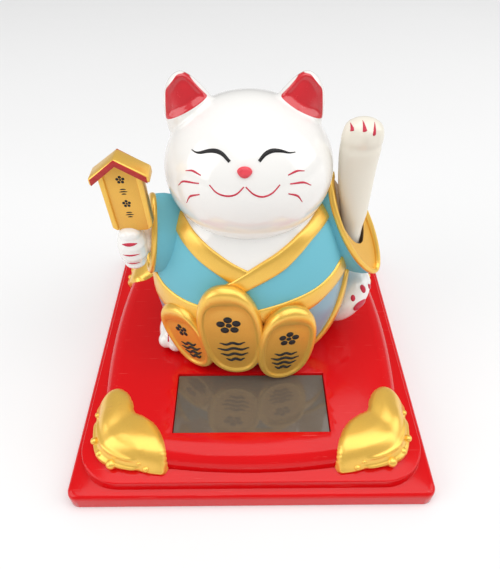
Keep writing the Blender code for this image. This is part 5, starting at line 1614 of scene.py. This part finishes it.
class CAT_OT_wish_board(bpy.types.Operator):
    """Build the roofed wish board with its frame and a plain blossom motif"""
    bl_idname = "cat.wish_board"
    bl_label = "Wish Board"

    def execute(self, context):
        seat = PAW_CENTRE + Vector((1.4 * MM, 0, PAW_RADII.z * 1.02 + 0.5 * MM))
        place = Matrix.Translation(seat) @ Matrix.Rotation(math.radians(-3), 4, "Y")
        face = BOARD_THICK / 2 - BOARD_RECESS
        plate_outline = [
            (-BOARD_HALF, 0), (-BOARD_HALF + BOARD_FOOT, -BOARD_FOOT), (BOARD_HALF - BOARD_FOOT, -BOARD_FOOT),
            (BOARD_HALF, 0), (BOARD_HALF, SHOULDER), (0, BOARD_HEIGHT + ROOF_RISE), (-BOARD_HALF, SHOULDER)]
        plate = solid("wish_board_plate", panel(plate_outline, -face, face), gold_face)
        eased(plate, 0.25 * MM)
        gilt = []
        for label, side in (("left", -1), ("right", 1)):
            outer, inner = side * BOARD_HALF, side * (BOARD_HALF - RAIL)
            rail_outline = [(outer, -0.2), (inner, -1.2), (inner, SHOULDER), (outer, SHOULDER)]
            rail = panel(rail_outline, -BOARD_THICK / 2, BOARD_THICK / 2)
            gilt.append(eased(solid(f"wish_board_rail_{label}", rail, gold_leaf), 0.35 * MM, 3))
        roof_outline = roof_line(0, (-ROOF_HALF, -ROOF_HALF)) + roof_line(0, (ROOF_HALF, ROOF_HALF))[::-1]
        roof = solid("wish_board_roof", panel(roof_outline, -ROOF_DEPTH, ROOF_DEPTH), gold_leaf)
        gilt.append(eased(roof, 0.55 * MM, 4))
        under, over = ROOF_HALF - 0.22, ROOF_HALF - 0.15
        strip_outline = roof_line(ROOF_INSET, (-under, 0.06 - under))
        strip_outline += roof_line(ROOF_INSET, (over, over))[::-1]
        strips = []
        for label, near, far in (("front", -2.72, -2.3), ("back", 2.3, 2.72)):
            strip = solid(f"wish_board_band_{label}", panel(strip_outline, near, far), roof_red)
            strips.append(eased(strip, 0.12 * MM))
        motifs = self.motifs(-face)
        for piece in (plate, *gilt, *strips, *motifs):
            piece.data.transform(place)
        seated(plate, FIGURINE, "gold_paint", "wish_board")
        for slot, pieces in (("gold_paint", gilt), ("lead_red", strips), ("black_plastic", motifs)):
            for piece in pieces:
                seated(piece, FIGURINE, slot)
        return {"FINISHED"}

    def motifs(self, front):
        """Blossoms and sets of three waves in turn, down the board's face."""
        rows, lines = [], []
        for index, z in enumerate((13.2, 9.9, 6.6, 3.3)):
            middle = Vector((0, front, z)) * MM
            if index % 2 == 0:
                rows += blossom(middle, Vector((1, 0, 0)), Vector((0, 0, 1)), Vector((0, -1, 0)), 1.15 * MM)
                continue
            for level, reach in WAVES:
                line = []
                for step in range(9):
                    share = step / 8
                    crest = math.sin(math.pi * share)
                    spot = middle + Vector(((2 * share - 1) * reach, 0.1, level + 0.22 * crest)) * MM
                    line.append((spot, 0.22 * MM * max(0.4, crest)))
                lines.append(line)
        return (dots("wish_board_blossoms", rows, ink_black, 0.35, 14),
                strokes("wish_board_waves", lines, ink_black, sides=8))


# ------------------------------------------------------------------ feet
RIGHT_FOOT = Vector((-23.3 * MM, -3.4 * MM, BODY_FOOT + 4.3 * MM))
RIGHT_FOOT_RADII = Vector((5.9, 7.6, 4.8)) * MM
# a toe's way across and back from the foot's middle and its radius, in millimetres
TOES = ((-3.4, -4.4, 2.5), (-0.2, -5.6, 2.7), (3.2, -5.6, 2.6))
# a claw line's place across, upper and lower end, in millimetres
FOOT_CLAWS = ((-25.6, 24.4, 21.6), (-22.3, 22.8, 20.2))
LEFT_FOOT = Vector((30.6 * MM, 3.2 * MM, BODY_FOOT + 12.2 * MM))
LEFT_FOOT_RADII = Vector((5.5, 7.3, 10.8)) * MM
LEFT_FOOT_LEAN = math.radians(28)
# the sole's pads: the point each is laid towards from PADS_FROM, half width, half height and roll in degrees
PADS = (((34.0, -3.2, 30.2), 2.5, 1.9, 35), ((31.4, -3.0, 33.2), 0.75, 1.15, 10),
        ((34.4, -1.4, 35.6), 0.85, 1.45, 15), ((36.7, 0.2, 35.0), 0.7, 1.3, 20))
PADS_FROM = Vector((24, -70, 72)) * MM


class CAT_OT_feet(bpy.types.Operator):
    """Build both feet, with claw lines on one and pads on the sole of the other"""
    bl_idname = "cat.feet"
    bl_label = "Feet"

    def execute(self, context):
        right = bmesh.new()
        add_ball(right, RIGHT_FOOT, RIGHT_FOOT_RADII, segments=40)
        for dx, dy, radius in TOES:
            radii = (radius * MM, radius * MM, radius * 1.1 * MM)
            add_ball(right, RIGHT_FOOT + Vector((dx, dy, -0.9)) * MM, radii, segments=24)
        foot = solid("right_foot_white", right, paw_white)
        fused(foot, 0.32 * MM, 7)
        for vert in foot.data.vertices:
            vert.co.z = max(vert.co.z, BASE_HIGH.z)
        seated(foot, FIGURINE, "white_gloss", "right_foot")
        lines = []
        for x, high, low in FOOT_CLAWS:
            starts = [Vector((x * MM, BEFORE, (high + (low - high) * (step / 8)) * MM)) for step in range(9)]
            lines.append(cast_stroke(foot, starts, Vector((0, 1, 0)),
                                     lambda share: 0.42 * MM * (0.35 + 0.65 * share)))
        seated(strokes("right_foot_claws", lines, line_red), FIGURINE, "lead_red")

        left = bmesh.new()
        add_ball(left, LEFT_FOOT, LEFT_FOOT_RADII, Matrix.Rotation(LEFT_FOOT_LEAN, 4, "Y"), 44)
        foot = solid("left_foot_white", left, paw_white)
        fused(foot, 0.36 * MM, 6)
        seated(foot, FIGURINE, "white_gloss", "left_foot")
        self.pads(foot)
        return {"FINISHED"}

    def pads(self, foot):
        """The big pad and three toe pads on the raised sole."""
        bm = bmesh.new()
        for spot, wide, tall, roll in PADS:
            hit, point, normal, _ = foot.ray_cast(PADS_FROM, (Vector(spot) * MM - PADS_FROM).normalized())
            if not hit:
                raise RuntimeError("a pad misses the sole")
            turn = normal.to_track_quat("Z", "Y").to_matrix().to_4x4()
            turn = turn @ Matrix.Rotation(math.radians(roll), 4, "Z")
            add_ball(bm, point - normal * 0.25 * MM, (wide * MM, tall * MM, 0.62 * MM), turn, 32)
        pads = solid("left_foot_pads", bm, line_red)
        pads.data.shade_smooth()
        seated(pads, FIGURINE, "lead_red")


# ------------------------------------------------------------------ coins
# name, width, height, x, distance in front of the belly, height above the foot, tilt and turn in degrees
COINS = (
    ("middle", 18.2, 35.0, -5.5, 0.4, 20.0, -6, -3), ("right", 16.8, 30.0, 10.1, 0.4, 14.6, 5, 10),
    ("left", 16.2, 23.5, -18.4, -4.7, 12.6, -26, -34),
)
COIN_STEPS = 88
COIN_BULGE = 0.9 * MM
COIN_DROP = 3.2 * MM                # how much lower the recess's top lies than the rim's
TALLEST_MOTIF = 37.5                # height of a coin that would carry a full-size blossom, in millimetres
COIN_WAVES = ((-0.10, 0.20), (-0.17, 0.25), (-0.24, 0.22), (-0.31, 0.15))    # shares of height and of width


def oval(width, height, y, trim, drop=0.0, scale=1.0):
    """A ring of a coin: an oval a little squarer than an ellipse, trimmed all round and more at its top."""
    def at(angle):
        """A point of the oval, no lower than the coin's own foot."""
        c, s = math.cos(angle), math.sin(angle)
        square = 1 + 0.045 * math.sin(2 * angle) ** 2
        top = max(0.0, s) ** 2
        z = (height / 2 - trim - drop * top) * s * square * scale
        return Vector(((width / 2 - trim) * c * square * scale, y, max(z, -height / 2)))

    return ring_of(COIN_STEPS, at)


class CAT_OT_coins(bpy.types.Operator):
    """Build the three oval coins with raised rims and plain motifs"""
    bl_idname = "cat.coins"
    bl_label = "Coins"

    def execute(self, context):
        coins = context.scene.cat_coins
        face_at = coins.recess - coins.thickness / 2 - 0.08 * MM
        rows, lines, made = [], [], []
        for label, width, height, x, forward, rise, tilt, turn in COINS:
            centre = Vector((x * MM, BODY_CENTRE_Y - BODY_DEPTH / 2 - forward * MM, BODY_FOOT + rise * MM))
            spin = Matrix.Rotation(math.radians(turn), 4, "Z") @ Matrix.Rotation(math.radians(tilt), 4, "Y")
            place = Matrix.Translation(centre) @ spin
            made.append(self.coin(label, width * MM, height * MM, place, coins))
            turned = place.to_3x3()
            across, up, facing = (turned @ Vector(axis) for axis in ((1, 0, 0), (0, 0, 1), (0, -1, 0)))
            middle = place @ Vector((0, face_at, 0.12 * height * MM))
            rows += blossom(middle, across, up, facing, 3.9 * MM * (height / TALLEST_MOTIF))
            for level, reach in COIN_WAVES:
                line = []
                for step in range(25):
                    share = step / 24
                    wave = 0.35 * math.cos(share * 4 * math.pi)
                    spot = Vector(((2 * share - 1) * reach * width, 0, level * height + wave)) * MM
                    spot.y = face_at
                    line.append((place @ spot, 0.46 * MM * max(0.35, math.sin(math.pi * share) ** 0.5)))
                lines.append(line)
        seated(made[0], FIGURINE, "gold_paint", "coin_cluster")
        for coin in made[1:]:
            seated(coin, FIGURINE, "gold_paint")
        seated(dots("coin_blossoms", rows, ink_black, 0.3, 20), FIGURINE, "black_plastic")
        seated(strokes("coin_waves", lines, ink_black, sides=8), FIGURINE, "black_plastic")
        return {"FINISHED"}

    def coin(self, label, width, height, place, coins):
        """One coin: a plain back, a rolled edge, a raised rim and a recessed face."""
        front = -coins.thickness / 2
        recess = front + coins.recess
        rim = coins.rim
        sections = [(-front, COIN_BULGE, 0.0, 0.4), (-front, COIN_BULGE), (-front - 0.3 * MM, 0.35 * MM),
                    (0.0, 0.0)]
        for step, angle in enumerate(quarter_turn(7)[1:], 1):
            sections.append((front * math.sin(angle), COIN_BULGE * (1 - math.cos(angle)),
                             COIN_BULGE * step / 7))
        sections += [(front, rim, COIN_DROP), (front + 0.12 * MM, rim + 0.2 * MM, COIN_DROP),
                     (recess - 0.1 * MM, rim + 0.5 * MM, COIN_DROP), (recess, rim + 0.8 * MM, COIN_DROP)]
        sections += [(recess - 0.12 * MM * (1 - share), rim + 0.8 * MM, COIN_DROP, share)
                     for share in (0.8, 0.5, 0.2)]
        made = solid(f"coin_{label}", skin([oval(width, height, *section) for section in sections]),
                     gold_leaf, gold_face)
        inner = range((len(sections) - 4) * COIN_STEPS, (len(sections) - 1) * COIN_STEPS)
        for index, face in enumerate(made.data.polygons):
            cap = len(face.vertices) == 3
            face.material_index = int(face.center.y < 0 if cap else index in inner)
        made.data.transform(place)
        made.data.shade_smooth()
        made.data.set_sharp_from_angle(angle=math.radians(50))
        for vert in made.data.vertices:
            vert.co.z = max(vert.co.z, BASE_HIGH.z + 0.05 * MM)
        return made


# ------------------------------------------------------------------ waving arm
ARM_LEVELS = 72
ARM_CREASE = 33.2                   # height of the crease under the paw, above the pivot, in millimetres
ARM_CROWN = Vector((-1.7, -2.3, 39.75)) * MM
# the claws: place across, lean, and the heights that their rays' lower and upper ends aim for, in millimetres
ARM_CLAWS = ((23.1, -0.25, 85.2, 88.6), (25.7, -0.25, 84.5, 88.9), (28.0, 0.1, 83.7, 88.2))
CLAWS_FROM = 60                     # how far before and above the arm the claws' rays start, in millimetres


class CAT_OT_arm(bpy.types.Operator):
    """Build the waving arm with its paw and three red claws"""
    bl_idname = "cat.arm"
    bl_label = "Waving Arm"

    def execute(self, context):
        low, high = ARM_STATIONS[0][0], ARM_STATIONS[-1][0]
        rings = [self.section(low + (high - low) * (level / (ARM_LEVELS - 1))) for level in range(ARM_LEVELS)]
        crown = ARM_CROWN + PIVOT
        rings.append([point.lerp(crown, 0.55) + Vector((0, 0, 0.03 * MM)) for point in rings[-1]])
        arm = solid("waving_arm_cream", skin(rings), arm_cream)
        smooth = arm.modifiers.new("soften", "SMOOTH")
        smooth.factor = 0.5
        smooth.iterations = 3
        applied(arm, 180)
        seated(arm, ARM, "arm_cream", "waving_arm")
        bpy.context.view_layer.update()
        lines = []
        for x, lean, lower, upper in ARM_CLAWS:
            starts = []
            for step in range(14):
                share = step / 13
                z = lower + (upper - lower) * share + CLAWS_FROM
                starts.append(Vector((x + lean * share, -CLAWS_FROM, z)) * MM)
            lines.append(cast_stroke(arm, starts, Vector((0, 1, -1)).normalized(), lambda share: (
                0.62 * MM * (1.0 - 0.92 * share) * min(1.0, 0.5 + share * 6)), 0.45))
        seated(strokes("waving_arm_claws", lines, line_red), ARM, "lead_red")
        return {"FINISHED"}

    def section(self, rise):
        """A ring of the arm at a height above the pivot, with the crease and the toes in it."""
        aside, forward, wide, deep = smooth_through(ARM_STATIONS, rise)
        crease = math.exp(-((rise - ARM_CREASE) / 0.8) ** 2) * 0.30
        toe_share = min(1.0, max(0.0, (rise - 34.5) / 2.5))

        def at(angle):
            """A point of this section."""
            front = max(0.0, -math.sin(angle))
            toes = 0.32 * front * math.cos(angle * 6 + math.pi) * toe_share
            inset = crease * (0.35 + front)
            return PIVOT + Vector((aside + (wide - inset + toes * 0.2) * math.cos(angle),
                                   -forward + (deep - inset + toes) * math.sin(angle), rise)) * MM

        return ring_of(56, at)


# ------------------------------------------------------------------ carried-over parts
class CAT_OT_inner_parts(bpy.types.Operator):
    """Finish the CAD parts that stay: cell, cover, screws, board, coil, bracket, axle and lever"""
    bl_idname = "cat.inner_parts"
    bl_label = "Inner Parts and Fasteners"

    def execute(self, context):
        slots = {row["node"]: row["material_slot"] for row in frame["record"]["subparts"]}
        for name, node in frame["nodes"].items():
            finish = SLOT_FINISH[slots[name]]()
            for slot in node.material_slots:
                slot.material = finish
        return {"FINISHED"}


# ------------------------------------------------------------------ stage
# name, place, aim, size of its side and share of the key strength
LIGHTS = (
    ("overhead", (0.10, -0.20, 1.5), (0, 0, 0.03), 1.8, 4),
    ("left", (-0.60, -0.25, 0.35), (0, 0, 0.04), 0.5, 0.35),
    ("right", (0.60, -0.10, 0.40), (0, 0, 0.04), 0.5, 0.30),
)
LIGHT_WATTS = 10                    # power of a light at full strength
FLOOR_HALF = 3.0
CAMERA_PLACE = (-0.001, -0.105, 0.1414)
CAMERA_TURN = Euler((math.radians(45), 0, math.radians(-0.5)))


class CAT_OT_stage(bpy.types.Operator):
    """Lay the pale floor, and set the soft lights and the camera"""
    bl_idname = "cat.stage"
    bl_label = "Stage"

    def execute(self, context):
        stage = context.scene.cat_stage
        bm = bmesh.new()
        bmesh.ops.create_grid(bm, x_segments=2, y_segments=2, size=FLOOR_HALF)
        floor = solid("floor", bm)
        paint = Paint("floor_pale", Specular_IOR_Level=0.2)
        cloud = paint.grain(0.12, 3)
        base = paint.mix(cloud, shade(stage.floor, 0.99), shade(stage.floor, 1.01))
        floor.data.materials.append(paint.finish(base, cloud * 0.05 + 0.75))
        for face in floor.data.polygons:
            if face.normal.z < 0:
                face.flip()

        for label, place, aim, size, share in LIGHTS:
            data = bpy.data.lights.new(f"{label}_softbox", "AREA")
            data.shape = "SQUARE"
            data.size = size
            data.energy = stage.key * share * LIGHT_WATTS
            lamp = bpy.data.objects.new(f"{label}_softbox", data)
            lamp.location = place
            lamp.rotation_euler = (Vector(aim) - Vector(place)).to_track_quat("-Z", "Y").to_euler()
            context.scene.collection.objects.link(lamp)

        world = bpy.data.worlds.new("surroundings")
        world.use_nodes = True
        background = world.node_tree.nodes["Background"]
        background.inputs["Color"].default_value = (1.0, 1.0, 1.0, 1.0)
        background.inputs["Strength"].default_value = stage.fill
        context.scene.world = world

        camera_data = bpy.data.cameras.new("camera")
        camera_data.lens = stage.lens
        camera_data.sensor_width = 36
        camera_data.clip_start = 0.001
        camera = bpy.data.objects.new("camera", camera_data)
        camera.location = CAMERA_PLACE
        camera.rotation_euler = CAMERA_TURN
        context.scene.collection.objects.link(camera)
        context.scene.camera = camera
        context.scene.view_settings.view_transform = "Standard"
        return {"FINISHED"}


OPERATORS = (
    CAT_OT_base, CAT_OT_ornaments, CAT_OT_robe, CAT_OT_head, CAT_OT_face, CAT_OT_sleeves, CAT_OT_right_paw,
    CAT_OT_wish_board, CAT_OT_feet, CAT_OT_coins, CAT_OT_arm, CAT_OT_inner_parts, CAT_OT_stage,
)


class CAT_PT_figurine(bpy.types.Panel):
    """Lists the figurine's pieces and what can be changed on them"""
    bl_idname = "CAT_PT_figurine"
    bl_label = "Beckoning Cat"
    bl_space_type = "VIEW_3D"
    bl_region_type = "UI"
    bl_category = "Figurine"

    def draw(self, context):
        for setting, kind in SETTINGS:
            box = self.layout.box()
            box.label(text=kind.__doc__.rstrip("."))
            for name in kind.__annotations__:
                box.prop(getattr(context.scene, setting), name)
        for operator in OPERATORS:
            self.layout.operator(operator.bl_idname)


CLASSES = (*(kind for _, kind in SETTINGS), *OPERATORS, CAT_PT_figurine)


def register():
    """Register every class and hang the settings on the scene."""
    for kind in CLASSES:
        bpy.utils.register_class(kind)
    for name, kind in SETTINGS:
        setattr(bpy.types.Scene, name, bpy.props.PointerProperty(type=kind))


def unregister():
    """Take the settings and the classes away again."""
    for name, _ in SETTINGS:
        delattr(bpy.types.Scene, name)
    for kind in reversed(CLASSES):
        bpy.utils.unregister_class(kind)


def main():
    """Build everything in order."""
    register()
    for operator in OPERATORS:
        group, name = operator.bl_idname.split(".")
        getattr(getattr(bpy.ops, group), name)()
    bpy.context.view_layer.update()


if __name__ == "__main__":
    main()
